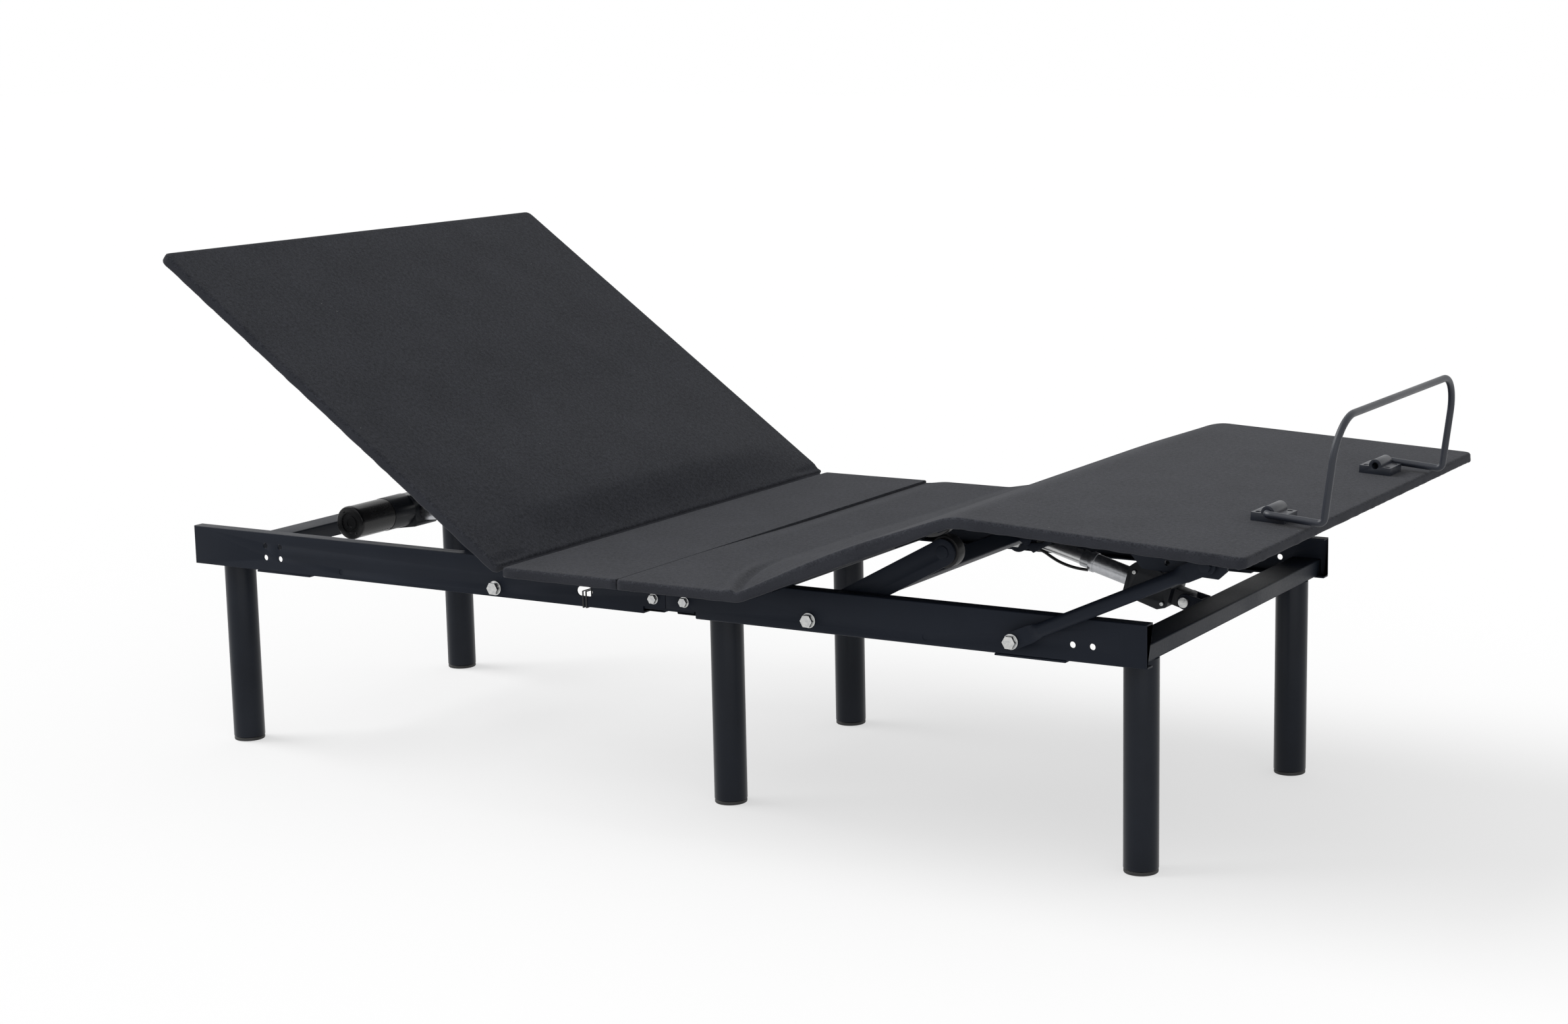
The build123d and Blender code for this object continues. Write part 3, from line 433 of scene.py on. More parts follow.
@dataclass(frozen=True)
class Finish:
    """One surface finish and the record's slot that it stands for."""

    name: str
    slot: str
    texture: Texture
    dark: Triple
    light: Triple
    rough: tuple[float, float]
    metallic: float = 0.0
    specular: float = 0.5
    sheen: float = 0.0
    sheen_rough: float = 0.45
    coat: float = 0.0
    coat_rough: float = 0.12
    bump: float = 0.2
    depth: float = 0.0002
    flat: bool = False

    def material(self) -> bpy.types.Material:
        """Return this finish's material, made the first time.

        Returns:
            The material.
        """
        found = bpy.data.materials.get(self.name)
        if found is not None:
            return found
        material = bpy.data.materials.new(self.name)
        material.use_nodes = True
        kit = NodeKit(material.node_tree)
        shader = material.node_tree.nodes["Principled BSDF"]
        if self.flat:
            position = kit.add("ShaderNodeAttribute", attribute_name="flat").outputs["Vector"]
        else:
            position = kit.add("ShaderNodeTexCoord").outputs["Object"]
        pattern = kit.add("ShaderNodeGroup")
        pattern.node_tree = GROUPS.get(self.texture)
        kit.join(position, pattern.inputs["Position"])
        pattern.inputs["Dark"].default_value = (*self.dark, 1.0)
        pattern.inputs["Light"].default_value = (*self.light, 1.0)
        kit.join(pattern.outputs["Color"], shader.inputs["Base Color"])
        rough = kit.spread(pattern.outputs["Mask"], 0.3, 0.7, *self.rough)
        kit.join(rough, shader.inputs["Roughness"])
        bump = kit.add("ShaderNodeBump")
        bump.inputs["Strength"].default_value = self.bump
        bump.inputs["Distance"].default_value = self.depth
        kit.join(pattern.outputs["Height"], bump.inputs["Height"])
        kit.join(bump.outputs["Normal"], shader.inputs["Normal"])
        shader.inputs["Metallic"].default_value = self.metallic
        shader.inputs["Specular IOR Level"].default_value = self.specular
        shader.inputs["Sheen Weight"].default_value = self.sheen
        shader.inputs["Sheen Roughness"].default_value = self.sheen_rough
        shader.inputs["Coat Weight"].default_value = self.coat
        shader.inputs["Coat Roughness"].default_value = self.coat_rough
        return material

    def wear(self, piece: bpy.types.Object) -> None:
        """Put this finish on a piece, as its only material.

        Args:
            piece: the object to finish.
        """
        piece.data.materials.clear()
        piece.data.materials.append(self.material())


FELT = Finish("charcoal_felt", "felt", Texture.FELT, (0.0112, 0.0122, 0.0158), (0.044, 0.0463, 0.0555),
              (0.92, 1.0), specular=0.1, sheen=0.08, bump=0.4, depth=0.0006, flat=True)
STEEL = Finish("blue_black_coat", "frame_steel", Texture.COAT, (0.0066, 0.0092, 0.0155),
               (0.0115, 0.0148, 0.0228), (0.42, 0.58), specular=0.12, bump=0.1)
SLATE = Finish("slate_coat", "retainer_steel", Texture.COAT, (0.013, 0.0155, 0.023),
               (0.022, 0.0255, 0.035), (0.34, 0.5), specular=0.4, bump=0.12)
ZINC = Finish("bright_zinc", "zinc", Texture.METAL, (0.42, 0.43, 0.44), (0.66, 0.66, 0.64),
              (0.24, 0.42), metallic=1.0, bump=0.08, depth=0.0001)
SILVER = Finish("satin_silver", "guide_silver", Texture.METAL, (0.4, 0.41, 0.43), (0.56, 0.57, 0.59),
                (0.3, 0.44), metallic=1.0, bump=0.08, depth=0.0001)
CHROME = Finish("satin_rod", "rod_steel", Texture.METAL, (0.5, 0.51, 0.52), (0.66, 0.66, 0.66),
                (0.28, 0.4), metallic=1.0, bump=0.06, depth=0.0001)
LEG_BLACK = Finish("leg_black", "leg_plastic", Texture.GRAIN, (0.0052, 0.0074, 0.0125),
                   (0.0095, 0.0125, 0.0195), (0.3, 0.46), specular=0.18, bump=0.12)
GLIDE_BLACK = Finish("glide_black", "glide_plastic", Texture.GRAIN, (0.008, 0.008, 0.008),
                     (0.02, 0.02, 0.02), (0.55, 0.75), bump=0.3)
HOUSING = Finish("housing_black", "drive_black", Texture.GRAIN, (0.0042, 0.0054, 0.0082),
                 (0.009, 0.0108, 0.0148), (0.34, 0.5), specular=0.22, bump=0.2)
MOTOR = Finish("motor_gloss", "motor_black", Texture.COAT, (0.004, 0.0042, 0.0046),
               (0.008, 0.0082, 0.009), (0.2, 0.32), specular=0.22, coat=0.06, bump=0.08)
ROLLER = Finish("roller_nylon", "roller_plastic", Texture.GRAIN, (0.006, 0.0062, 0.007),
                (0.014, 0.0143, 0.0155), (0.42, 0.6), specular=0.3, bump=0.25)
TRACK = Finish("track_strip", "track_plastic", Texture.GRAIN, (0.02, 0.02, 0.021),
               (0.045, 0.045, 0.047), (0.45, 0.62), bump=0.25)
LEAD = Finish("lead_sheath", "lead_rubber", Texture.GRAIN, (0.006, 0.006, 0.006),
              (0.014, 0.014, 0.014), (0.5, 0.68), bump=0.3)
NYLON = Finish("tie_nylon", "tie_nylon", Texture.GRAIN, (0.008, 0.008, 0.009),
               (0.02, 0.02, 0.022), (0.38, 0.55), bump=0.2)


def lay_aside() -> None:
    """Leave edit mode and deselect everything."""
    if bpy.context.object is not None and bpy.context.object.mode != "OBJECT":
        bpy.ops.object.mode_set(mode="OBJECT")
    bpy.ops.object.select_all(action="DESELECT")


def take_up(piece: bpy.types.Object) -> None:
    """Make one piece the only selected, active object.

    Args:
        piece: the object to work on.
    """
    lay_aside()
    piece.select_set(True)
    bpy.context.view_layer.objects.active = piece


def name_active(name: str) -> bpy.types.Object:
    """Name the object that an operator has just added.

    Args:
        name: the piece's name.

    Returns:
        The object.
    """
    piece = bpy.context.object
    piece.name = name
    piece.data.name = name
    return piece


def settle(piece: bpy.types.Object, angle: float = 35.0) -> bpy.types.Object:
    """Apply a piece's place and shade it smooth by angle.

    Args:
        piece: the object to settle.
        angle: degrees above which an edge stays sharp.

    Returns:
        The same object.
    """
    take_up(piece)
    bpy.ops.object.transform_apply(location=True, rotation=True, scale=True)
    bpy.ops.object.shade_smooth_by_angle(angle=math.radians(angle))
    lay_aside()
    return piece


def pick_edges(piece: bpy.types.Object, wanted: Callable[[bmesh.types.BMEdge], bool]) -> int:
    """Select edges in edit mode by a test.

    Args:
        piece: the object, in edit mode.
        wanted: test of one edge.

    Returns:
        How many edges were selected.
    """
    bpy.ops.mesh.select_mode(type="EDGE")
    bpy.ops.mesh.select_all(action="DESELECT")
    mesh = bmesh.from_edit_mesh(piece.data)
    count = 0
    for edge in mesh.edges:
        if wanted(edge):
            edge.select_set(True)
            count += 1
    bmesh.update_edit_mesh(piece.data)
    return count


def pick_faces(piece: bpy.types.Object, wanted: Callable[[bmesh.types.BMFace], bool]) -> None:
    """Select faces in edit mode by a test.

    Args:
        piece: the object, in edit mode.
        wanted: test of one face.
    """
    bpy.ops.mesh.select_mode(type="FACE")
    bpy.ops.mesh.select_all(action="DESELECT")
    mesh = bmesh.from_edit_mesh(piece.data)
    for face in mesh.faces:
        if wanted(face):
            face.select_set(True)
    bmesh.update_edit_mesh(piece.data)


def carry(piece: bpy.types.Object, body: str, finish: Finish, nodes: Sequence[str] = ()) -> None:
    """Finish a piece, let it ride on a body and stand for CAD nodes.

    Args:
        piece: the finished object.
        body: the body that it moves with.
        finish: its surface.
        nodes: the CAD nodes that it stands for.
    """
    finish.wear(piece)
    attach(piece, body)
    if nodes:
        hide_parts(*nodes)
    LOG.info("%s rides on %s", piece.name, body)


def span(piece: bpy.types.Object, bodies: tuple[str, str],
         finish: Finish, nodes: Sequence[str] = ()) -> None:
    """Finish a piece, bake its place into its mesh and let it stand for CAD nodes.

    Args:
        piece: the finished object.
        bodies: the two bodies that it lies between, named in the log.
        finish: its surface.
        nodes: the CAD nodes that it stands for.
    """
    finish.wear(piece)
    if nodes:
        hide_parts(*nodes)
    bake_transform(piece)
    LOG.info("%s blends %s to %s", piece.name, *bodies)


def ease(value: float, low: float, high: float) -> float:
    """Smooth step from 0 at low to 1 at high."""
    t = min(1.0, max(0.0, (value - low) / (high - low)))
    return t * t * (3.0 - 2.0 * t)


@dataclass(frozen=True)
class Bend:
    """A straight run followed by a turn of the deck's line."""

    run: float
    turn: float = 0.0
    radius: float = 0.0

    def arc(self) -> float:
        """Length of the turn."""
        return abs(math.radians(self.turn)) * self.radius


@dataclass(frozen=True)
class DeckPath:
    """Line of a cover's middle layer, seen from the side."""

    x: float
    z: float
    angle: float
    heading: int
    bends: tuple[Bend, ...]

    def length(self) -> float:
        """Length of the whole line."""
        return sum(bend.run + bend.arc() for bend in self.bends)

    def folds(self) -> list[tuple[Bend, float]]:
        """Find the middle of each turn.

        Returns:
            Each bend with the distance along the line to its turn's middle.
        """
        found, start = [], 0.0
        for bend in self.bends[:-1]:
            found.append((bend, start + bend.run + bend.arc() / 2))
            start += bend.run + bend.arc()
        return found

    def hollow(self, along: float) -> float:
        """Room to leave under a downward bend, so that it clears the rails when it lies flat.

        Args:
            along: distance along the line.

        Returns:
            Room in metres.
        """
        room = 0.0
        for bend, middle in self.folds():
            if bend.turn < 0.0:
                room += KNEE_ROOM * (1.0 - ease(abs(along - middle), *KNEE_ROOM_ENDS))
        return room

    def place(self, along: float, above: float) -> tuple[float, float]:
        """Find a point of the cover in the upright plane.

        Args:
            along: distance along the line.
            above: height over the line.

        Returns:
            World x and z.
        """
        u, z, a, left = 0.0, self.z, math.radians(self.angle), along
        for index, bend in enumerate(self.bends):
            last = index == len(self.bends) - 1
            step = left if last else min(left, bend.run)
            u += step * math.cos(a)
            z += step * math.sin(a)
            left -= step
            if left <= 0.0 or last:
                break
            turn = math.radians(bend.turn)
            arc = bend.arc()
            part = turn * min(left, arc) / arc
            swing = math.copysign(bend.radius, turn)
            u += swing * (math.sin(a + part) - math.sin(a))
            z -= swing * (math.cos(a + part) - math.cos(a))
            a += part
            left -= min(left, arc)
        x = self.x + self.heading * (u - above * math.sin(a))
        return x, z + above * math.cos(a)


def slack(x: float, y: float, seed: float, size: float = 0.0003) -> float:
    """Small uneven lift of the felt.

    Args:
        x: distance along the cover.
        y: distance across it.
        seed: moves the pattern.
        size: greatest lift.

    Returns:
        Lift in metres.
    """
    wide = noise.noise(Vector((x * 7.0, y * 7.0, seed)))
    near = noise.noise(Vector((x * 19.0, y * 19.0, seed + 7.0)))
    return size * (0.7 * wide + 0.3 * near)


@dataclass
class DeckCover:
    """A board in its felt cover, or a run of felt over two boards."""

    name: str
    nodes: tuple[str, ...]
    path: DeckPath
    ends: tuple[End, End]
    lift: Callable[[float, float], float]
    pucker: float = 0.0007

    def scallop(self, run: float, facing: Vector) -> float:
        """Uneven swell of the hem, stapled under the board at short steps.

        Args:
            run: distance along the edge.
            facing: which way the edge faces.

        Returns:
            Swell in metres.
        """
        drift = noise.noise(Vector((run * 9.0, 3.0 * facing.x, 3.0 * facing.y + self.path.x)))
        uneven = noise.noise(Vector((run * 33.0, 5.0 + facing.y, self.path.x)))
        wave = abs(math.sin(run * 84.0 + 5.0 * drift))
        return self.pucker * (wave ** 0.8) * max(0.1, 0.6 + 0.95 * uneven)

    def rounded(self, piece: bpy.types.Object, low: float, high: float, half: float) -> None:
        """Round the outline's corners and store which way its edge faces.

        Args:
            piece: the flat grid, in edit mode.
            low: start of the flat area.
            high: end of the flat area.
            half: half its width.
        """
        mesh = bmesh.from_edit_mesh(piece.data)
        flat = mesh.verts.layers.float_vector.new("flat")
        out = mesh.verts.layers.float_vector.new("out")
        for vert in mesh.verts:
            x, y = vert.co.x, vert.co.y
            end = self.ends[0] if x < (low + high) / 2 else self.ends[1]
            edge, sign = (low, -1.0) if x < (low + high) / 2 else (high, 1.0)
            side = math.copysign(1.0, y)
            at_end = abs(x - edge) < TINY
            at_side = abs(abs(y) - half) < TINY
            corner, share = end.value
            facing = Vector((sign * share * at_end, side * at_side, 0.0))
            radius = max(0.0, corner - TOP_RIM)
            if radius > 0.0:
                a = (sign * (x - edge) + radius) / radius
                b = (abs(y) - half + radius) / radius
                if a > 0.0 and b > 0.0:
                    scale = max(a, b) / math.hypot(a, b)
                    vert.co.x = edge - sign * radius * (1.0 - a * scale)
                    vert.co.y = side * (half - radius * (1.0 - b * scale))
                    if at_end or at_side:
                        facing = Vector((sign * a, side * b, 0.0)).normalized()
                        facing.x *= share
            vert[flat] = vert.co
            vert[out] = facing
        bmesh.update_edit_mesh(piece.data)

    def profile(self) -> list[tuple[float, float]]:
        """Steps of the rolled edge.

        Returns:
            Outward reach and height of each step.
        """
        steps = []
        for share in (0.25, 0.5, 0.75, 1.0):
            a = share * math.pi / 2
            steps.append((TOP_RIM * math.sin(a), TOP_RIM * (math.cos(a) - 1.0)))
        wall = BOARD - TOP_RIM - LOW_RIM
        for share in (0.34, 0.67, 1.0):
            steps.append((TOP_RIM, -TOP_RIM - wall * share))
        for share in (0.34, 0.67, 1.0):
            a = share * math.pi / 2
            steps.append((TOP_RIM + LOW_RIM * (math.cos(a) - 1.0), -BOARD + LOW_RIM * (1.0 - math.sin(a))))
        steps.append((TOP_RIM - LOW_RIM - HEM, -BOARD))
        return steps

    def roll_edges(self, piece: bpy.types.Object) -> None:
        """Extrude the outline down and under, as felt wrapped round a board.

        Args:
            piece: the flat grid, in edit mode.
        """
        pick_edges(piece, lambda edge: edge.is_boundary)
        for reach, height in self.profile():
            bpy.ops.mesh.extrude_region_move(TRANSFORM_OT_translate={"value": (0.0, 0.0, 0.0)})
            mesh = bmesh.from_edit_mesh(piece.data)
            flat = mesh.verts.layers.float_vector["flat"]
            out = mesh.verts.layers.float_vector["out"]
            for vert in mesh.verts:
                if vert.select:
                    vert.co = vert[flat] + vert[out] * reach + Vector((0.0, 0.0, height))
            bmesh.update_edit_mesh(piece.data)
        bpy.ops.mesh.edge_face_add()
        self.cut_under(piece)

    def cut_under(self, piece: bpy.types.Object) -> None:
        """Cut the flat underside across at each bend, so that it follows the line.

        Args:
            piece: the flat cover, in edit mode.
        """
        for _, middle in self.path.folds():
            for step in range(-CUTS, CUTS + 1):
                pick_faces(piece, lambda face: all(vert.co.z < TINY - BOARD for vert in face.verts))
                spot = middle + step * CUT_STEP
                bpy.ops.mesh.bisect(plane_co=(spot, 0.0, 0.0), plane_no=(1.0, 0.0, 0.0))

    def shape(self, piece: bpy.types.Object) -> None:
        """Lift and pucker the felt, then lay the flat cover along its line.

        Args:
            piece: the flat cover, in object mode.
        """
        mesh = piece.data
        out = mesh.attributes["out"].data
        flat = mesh.attributes["flat"].data
        for vert in mesh.vertices:
            x, y, z = vert.co
            height = z
            facing = Vector(out[vert.index].vector)
            base = Vector(flat[vert.index].vector)
            top = ease(z, -BOARD * 0.55, -TOP_RIM * 0.3)
            z += self.lift(base.x, base.y) * top
            if facing.length > 0.5:
                run = base.y if abs(facing.x) > abs(facing.y) else base.x
                hem = self.scallop(run, facing) * ease(-z, BOARD * 0.35, BOARD * 0.8)
                x += facing.x * hem
                y += facing.y * hem
                z -= 0.9 * hem * ease(-z, BOARD * 0.6, BOARD * 0.98) * ease(abs(y), 0.38, 0.42)
            if height < TINY - BOARD and abs(y) < UNDER_HALF:
                z += UNDER_ROOM + self.path.hollow(x)
            place = self.path.place(x, BOARD / 2 + z)
            vert.co = (place[0], y, place[1])
            deep = max(0.0, -height)
            flat[vert.index].vector = (base.x + facing.x * deep, base.y + facing.y * deep, deep)
        mesh.attributes.remove(mesh.attributes["out"])

    def build(self) -> bpy.types.Object:
        """Model the cover.

        Returns:
            The cover's object.
        """
        length = self.path.length()
        low = TOP_RIM * self.ends[0].value[1]
        high = length - TOP_RIM * self.ends[1].value[1]
        half = DECK_WIDTH / 2 - TOP_RIM
        lay_aside()
        bpy.ops.mesh.primitive_grid_add(
            x_subdivisions=max(8, round((high - low) / CELL)),
            y_subdivisions=round(2 * half / CELL),
            size=2.0,
        )
        piece = name_active(self.name)
        piece.scale = ((high - low) / 2, half, 1.0)
        piece.location = ((high + low) / 2, 0.0, 0.0)
        bpy.ops.object.transform_apply(location=True, rotation=True, scale=True)
        bpy.ops.object.mode_set(mode="EDIT")
        self.rounded(piece, low, high, half)
        self.roll_edges(piece)
        bpy.ops.object.mode_set(mode="OBJECT")
        self.shape(piece)
        take_up(piece)
        bpy.ops.object.mode_set(mode="EDIT")
        bpy.ops.mesh.select_all(action="SELECT")
        bpy.ops.mesh.normals_make_consistent(inside=False)
        bpy.ops.object.mode_set(mode="OBJECT")
        return settle(piece, 50.0)


@dataclass(frozen=True)
class FoldStrip:
    """Strip of felt that closes the back fold, tucked into the covers beside it."""

    above: float = 0.0048
    reach: float = 0.0115
    half: float = 0.47
    wall: float = 0.0014
    sag: float = 0.0006
    shade: float = 0.003
    cells: tuple[int, int] = (8, 94)

    def shape(self, piece: bpy.types.Object, turn: float) -> None:
        """Fold the flat strip along the back's hinge line.

        Args:
            piece: the strip's grid.
            turn: distance from the hinge line to the strip's fold.
        """
        flat = piece.data.attributes.new("flat", "FLOAT_VECTOR", "POINT").data
        for vert in piece.data.vertices:
            run = vert.co.x * (self.reach - turn)
            y = vert.co.y * self.half
            flat[vert.index].vector = (run, y, self.shade)
            tilt = math.radians(BACK_ANGLE) if run < 0.0 else 0.0
            sag = self.sag * noise.noise(Vector((y * 11.0, 2.0, 5.0)))
            x = BACK_FOLD + turn + run * math.cos(tilt)
            vert.co = (x, y, DECK_MID + self.above - run * math.sin(tilt) + sag)

    def build(self) -> None:
        """Model the strip, folded over the back's fold."""
        a = math.radians(BACK_ANGLE)
        turn = self.above * math.tan(a / 2)
        lay_aside()
        columns, rows = self.cells
        bpy.ops.mesh.primitive_grid_add(x_subdivisions=columns, y_subdivisions=rows, size=2.0)
        piece = name_active("crease_back")
        self.shape(piece, turn)
        wall = piece.modifiers.new("wall", "SOLIDIFY")
        wall.thickness = self.wall
        wall.offset = -1.0
        bpy.ops.object.modifier_apply(modifier=wall.name)
        settle(piece, 60.0)
        span(piece, ("base", "back"),
             FELT)


@dataclass
class Deck:
    """The felt-covered deck, in four covers and a strip in the back fold."""

    knee_radius: float = 0.09
    fold_radius: float = 0.05
    fold_reach: float = 0.02
    knee_reach: float = 0.04
    ramp_slope: float = 0.19
    pillow: float = 0.0065
    belly: float = 0.0135
    tuck: float = 0.0028
    dip: float = 0.0042
    crest: float = 0.003
    crease: float = 0.0036
    knee_pucker: float = 0.0013

    def half_turn(self, radius: float, turn: float) -> float:
        """Length that a rounded fold takes off each straight run."""
        return radius * math.tan(math.radians(abs(turn)) / 2)

    def back_lift(self, x: float, y: float) -> float:
        """Felt over the back: it bellies out above the fold and is tucked in at its corners.

        Args:
            x: distance from the fold.
            y: distance across.

        Returns:
            Lift in metres.
        """
        middle = max(0.0, 1.0 - (abs(y) / 0.475) ** 2.2)
        belly = self.belly * middle * ease(x, 0.0, 0.095) * (1.0 - ease(x, 0.07, 0.34))
        inward = DECK_WIDTH / 2 - abs(y)
        tuck = -self.tuck * math.exp(-((x - 0.011) / 0.006) ** 2) * (1.0 - ease(inward, 0.05, 0.1))
        return belly + tuck + slack(x, y, 1.0) * ease(x, 0.01, 0.05)

    def ramp_reach(self, inward: float) -> float:
        """How far the felt bridges the thigh fold to each side.

        Args:
            inward: distance from the near edge.

        Returns:
            Reach in metres.
        """
        return 0.068 * math.sin(math.pi / 2 * min(1.0, inward / 0.24)) - 0.022 * ease(inward, 0.3, 0.9)

    def ramp(self, past: float, inward: float) -> float:
        """Lift of the felt that bridges the thigh fold, creased at its near end.

        Args:
            past: distance past the fold.
            inward: distance from the near edge.

        Returns:
            Lift in metres.
        """
        ahead = self.ramp_reach(inward) - math.hypot(past, 0.006)
        lift = self.ramp_slope * (ahead + math.hypot(ahead, 0.003)) / 2
        if past < 0.0:
            pinch = 1.0 - ease(inward, 0.12, 0.26)
            crest = self.crest * math.exp(-((ahead + 0.015) / 0.009) ** 2)
            crease = self.crease * math.exp(-(ahead / 0.0055) ** 2)
            lift += pinch * (crest - crease)
        return lift

    def puff(self, run: float) -> float:
        """Swell of the thigh board's felt at a distance from the fold."""
        return self.pillow * math.sin(math.pi * min(1.0, max(0.0, run / THIGH_LENGTH))) ** 1.5

    def back(self) -> None:
        """Cover of the back board."""
        path = DeckPath(
            BACK_FOLD - FOLD_GAP * math.cos(math.radians(BACK_ANGLE)),
            DECK_MID + FOLD_GAP * math.sin(math.radians(BACK_ANGLE)),
            BACK_ANGLE, -1, (Bend(BACK_LENGTH - FOLD_GAP),),
        )
        cover = DeckCover("cover_back", ("back_panel",), path, (End.FOLD, End.OUTER), self.back_lift)
        piece = cover.build()
        carry(piece, "back", FELT, cover.nodes)

    def seat_head(self) -> None:
        """Cover of the seat's head board."""
        start = BACK_FOLD + FOLD_GAP
        path = DeckPath(start, DECK_MID, 0.0, 1, (Bend(SEAT_SPLIT - SEAT_SLIT - start),))
        cover = DeckCover("cover_seat_head", ("seat_head_panel",), path, (End.FOLD, End.SEAM),
                          lambda x, y: slack(x, y, 3.0))
        piece = cover.build()
        carry(piece, "base", FELT, cover.nodes)

    def seat_fold(self) -> None:
        """Felt over the seat's foot board and up the first half of the thigh board."""
        start = SEAT_SPLIT + SEAT_SLIT
        trim = self.half_turn(self.fold_radius, THIGH_ANGLE)
        path = DeckPath(start, DECK_MID, 0.0, 1, (
            Bend(THIGH_FOLD - start - trim, THIGH_ANGLE, self.fold_radius),
            Bend(THIGH_LENGTH / 2 - trim),
        ))
        fold = THIGH_FOLD - start

        def lift(x: float, y: float) -> float:
            """Felt that dips at the seam, bridges the fold and swells over the thigh.

            Args:
                x: distance from the seam.
                y: distance across.

            Returns:
                Lift in metres.
            """
            dip = -self.dip * ease(y, -0.3, 0.12) * (1.0 - ease(x, 0.0, 0.045))
            rise = self.ramp(x - fold, y + DECK_WIDTH / 2) + self.puff(x - fold)
            return slack(x, y, 5.0) * ease(abs(x - fold), 0.01, 0.05) + rise + dip

        cover = DeckCover("cover_seat_fold", ("seat_foot_panel",), path, (End.SEAM, End.JOINED), lift)
        piece = cover.build()
        span(piece, ("base", "thigh"),
             FELT, cover.nodes)

    def knee(self) -> None:
        """Felt over the rest of the thigh board, the knee and the leg board."""
        a = math.radians(THIGH_ANGLE)
        turn = LEG_ANGLE - THIGH_ANGLE
        trim = self.half_turn(self.knee_radius, turn)
        half = THIGH_LENGTH / 2
        path = DeckPath(
            THIGH_FOLD + half * math.cos(a), DECK_MID + half * math.sin(a), THIGH_ANGLE, 1,
            (Bend(half - trim, turn, self.knee_radius), Bend(LEG_LENGTH - trim)),
        )

        def lift(x: float, y: float) -> float:
            """Felt that swells over the thigh and is slack over the leg."""
            return slack(x, y, 9.0) * ease(x, 0.0, 0.05) + self.puff(x + half)

        cover = DeckCover("cover_knee", ("thigh_panel", "leg_panel"), path, (End.JOINED, End.OUTER), lift,
                          pucker=self.knee_pucker)
        piece = cover.build()
        span(piece, ("thigh", "leg"),
             FELT, cover.nodes)

    def build(self) -> None:
        """Model every cover and the strip."""
        self.back()
        self.seat_head()
        FoldStrip().build()
        self.seat_fold()
        self.knee()


@dataclass(frozen=True)
class SteelPiece:
    """A CAD piece whose copy gets worked edges."""

    node: str
    finish: Finish
    edge: float = 0.0006
    bend: float = 0.0
    segments: int = 2

    def copy(self) -> bpy.types.Object:
        """Copy the CAD node as a welded mesh with whole faces.

        Returns:
            The copy.
        """
        source = frame["nodes"][self.node]
        piece = bpy.data.objects.new("worked_" + self.node, source.data.copy())
        bpy.context.scene.collection.objects.link(piece)
        take_up(piece)
        if piece.data.has_custom_normals:
            bpy.ops.mesh.customdata_custom_splitnormals_clear()
        bpy.ops.object.mode_set(mode="EDIT")
        bpy.ops.mesh.select_all(action="SELECT")
        bpy.ops.mesh.remove_doubles(threshold=WELD)
        bpy.ops.mesh.dissolve_limited(angle_limit=math.radians(FLAT_TURN))
        bpy.ops.object.mode_set(mode="OBJECT")
        return piece

    def round_bends(self, piece: bpy.types.Object) -> None:
        """Round the long folded corners of sheet and tube.

        Args:
            piece: the copy, in object mode.
        """
        low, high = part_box(self.node)

        def folded(edge: bmesh.types.BMEdge) -> bool:
            """Whether an edge is a long outer corner.

            Args:
                edge: the edge to test.

            Returns:
                True if it is.
            """
            if edge.calc_length() < LONG_EDGE or not edge.is_manifold or not edge.is_convex:
                return False
            if edge.calc_face_angle() < math.radians(FOLD_TURN):
                return False
            return self.on_corner(edge, low, high)

        take_up(piece)
        bpy.ops.object.mode_set(mode="EDIT")
        if pick_edges(piece, folded):
            bpy.ops.mesh.bevel(offset=self.bend, segments=4, profile=0.5, affect="EDGES",
                               clamp_overlap=False)
        bpy.ops.object.mode_set(mode="OBJECT")

    def on_corner(self, edge: bmesh.types.BMEdge, low: Vector, high: Vector) -> bool:
        """Whether both ends of an edge lie on the rail's folded outer corner.

        Args:
            edge: the edge to test.
            low: the node's lowest corner.
            high: the node's highest corner.

        Returns:
            True for a rail's bend, or for any long edge of a tube.
        """
        if not self.node.startswith("rail_"):
            return True
        outer = [abs(abs(v.co.y) - RAIL_OUT) < CLOSE for v in edge.verts]
        level = [min(abs(v.co.z - RAIL_TOP), abs(v.co.z - RAIL_BOTTOM)) < CLOSE for v in edge.verts]
        return all(outer) and all(level)

    def build(self) -> None:
        """Model the worked copy and let it stand for its node."""
        piece = self.copy()
        if self.bend > 0.0:
            self.round_bends(piece)
        take_up(piece)
        if self.edge > 0.0:
            bevel = piece.modifiers.new("edges", "BEVEL")
            bevel.width = self.edge
            bevel.segments = self.segments
            bevel.limit_method = "ANGLE"
            bevel.angle_limit = math.radians(SHARP_TURN)
            bevel.use_clamp_overlap = True
            bpy.ops.object.modifier_apply(modifier=bevel.name)
        settle(piece)
        carry(piece, frame["nodes"][self.node]["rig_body"], self.finish, (self.node,))


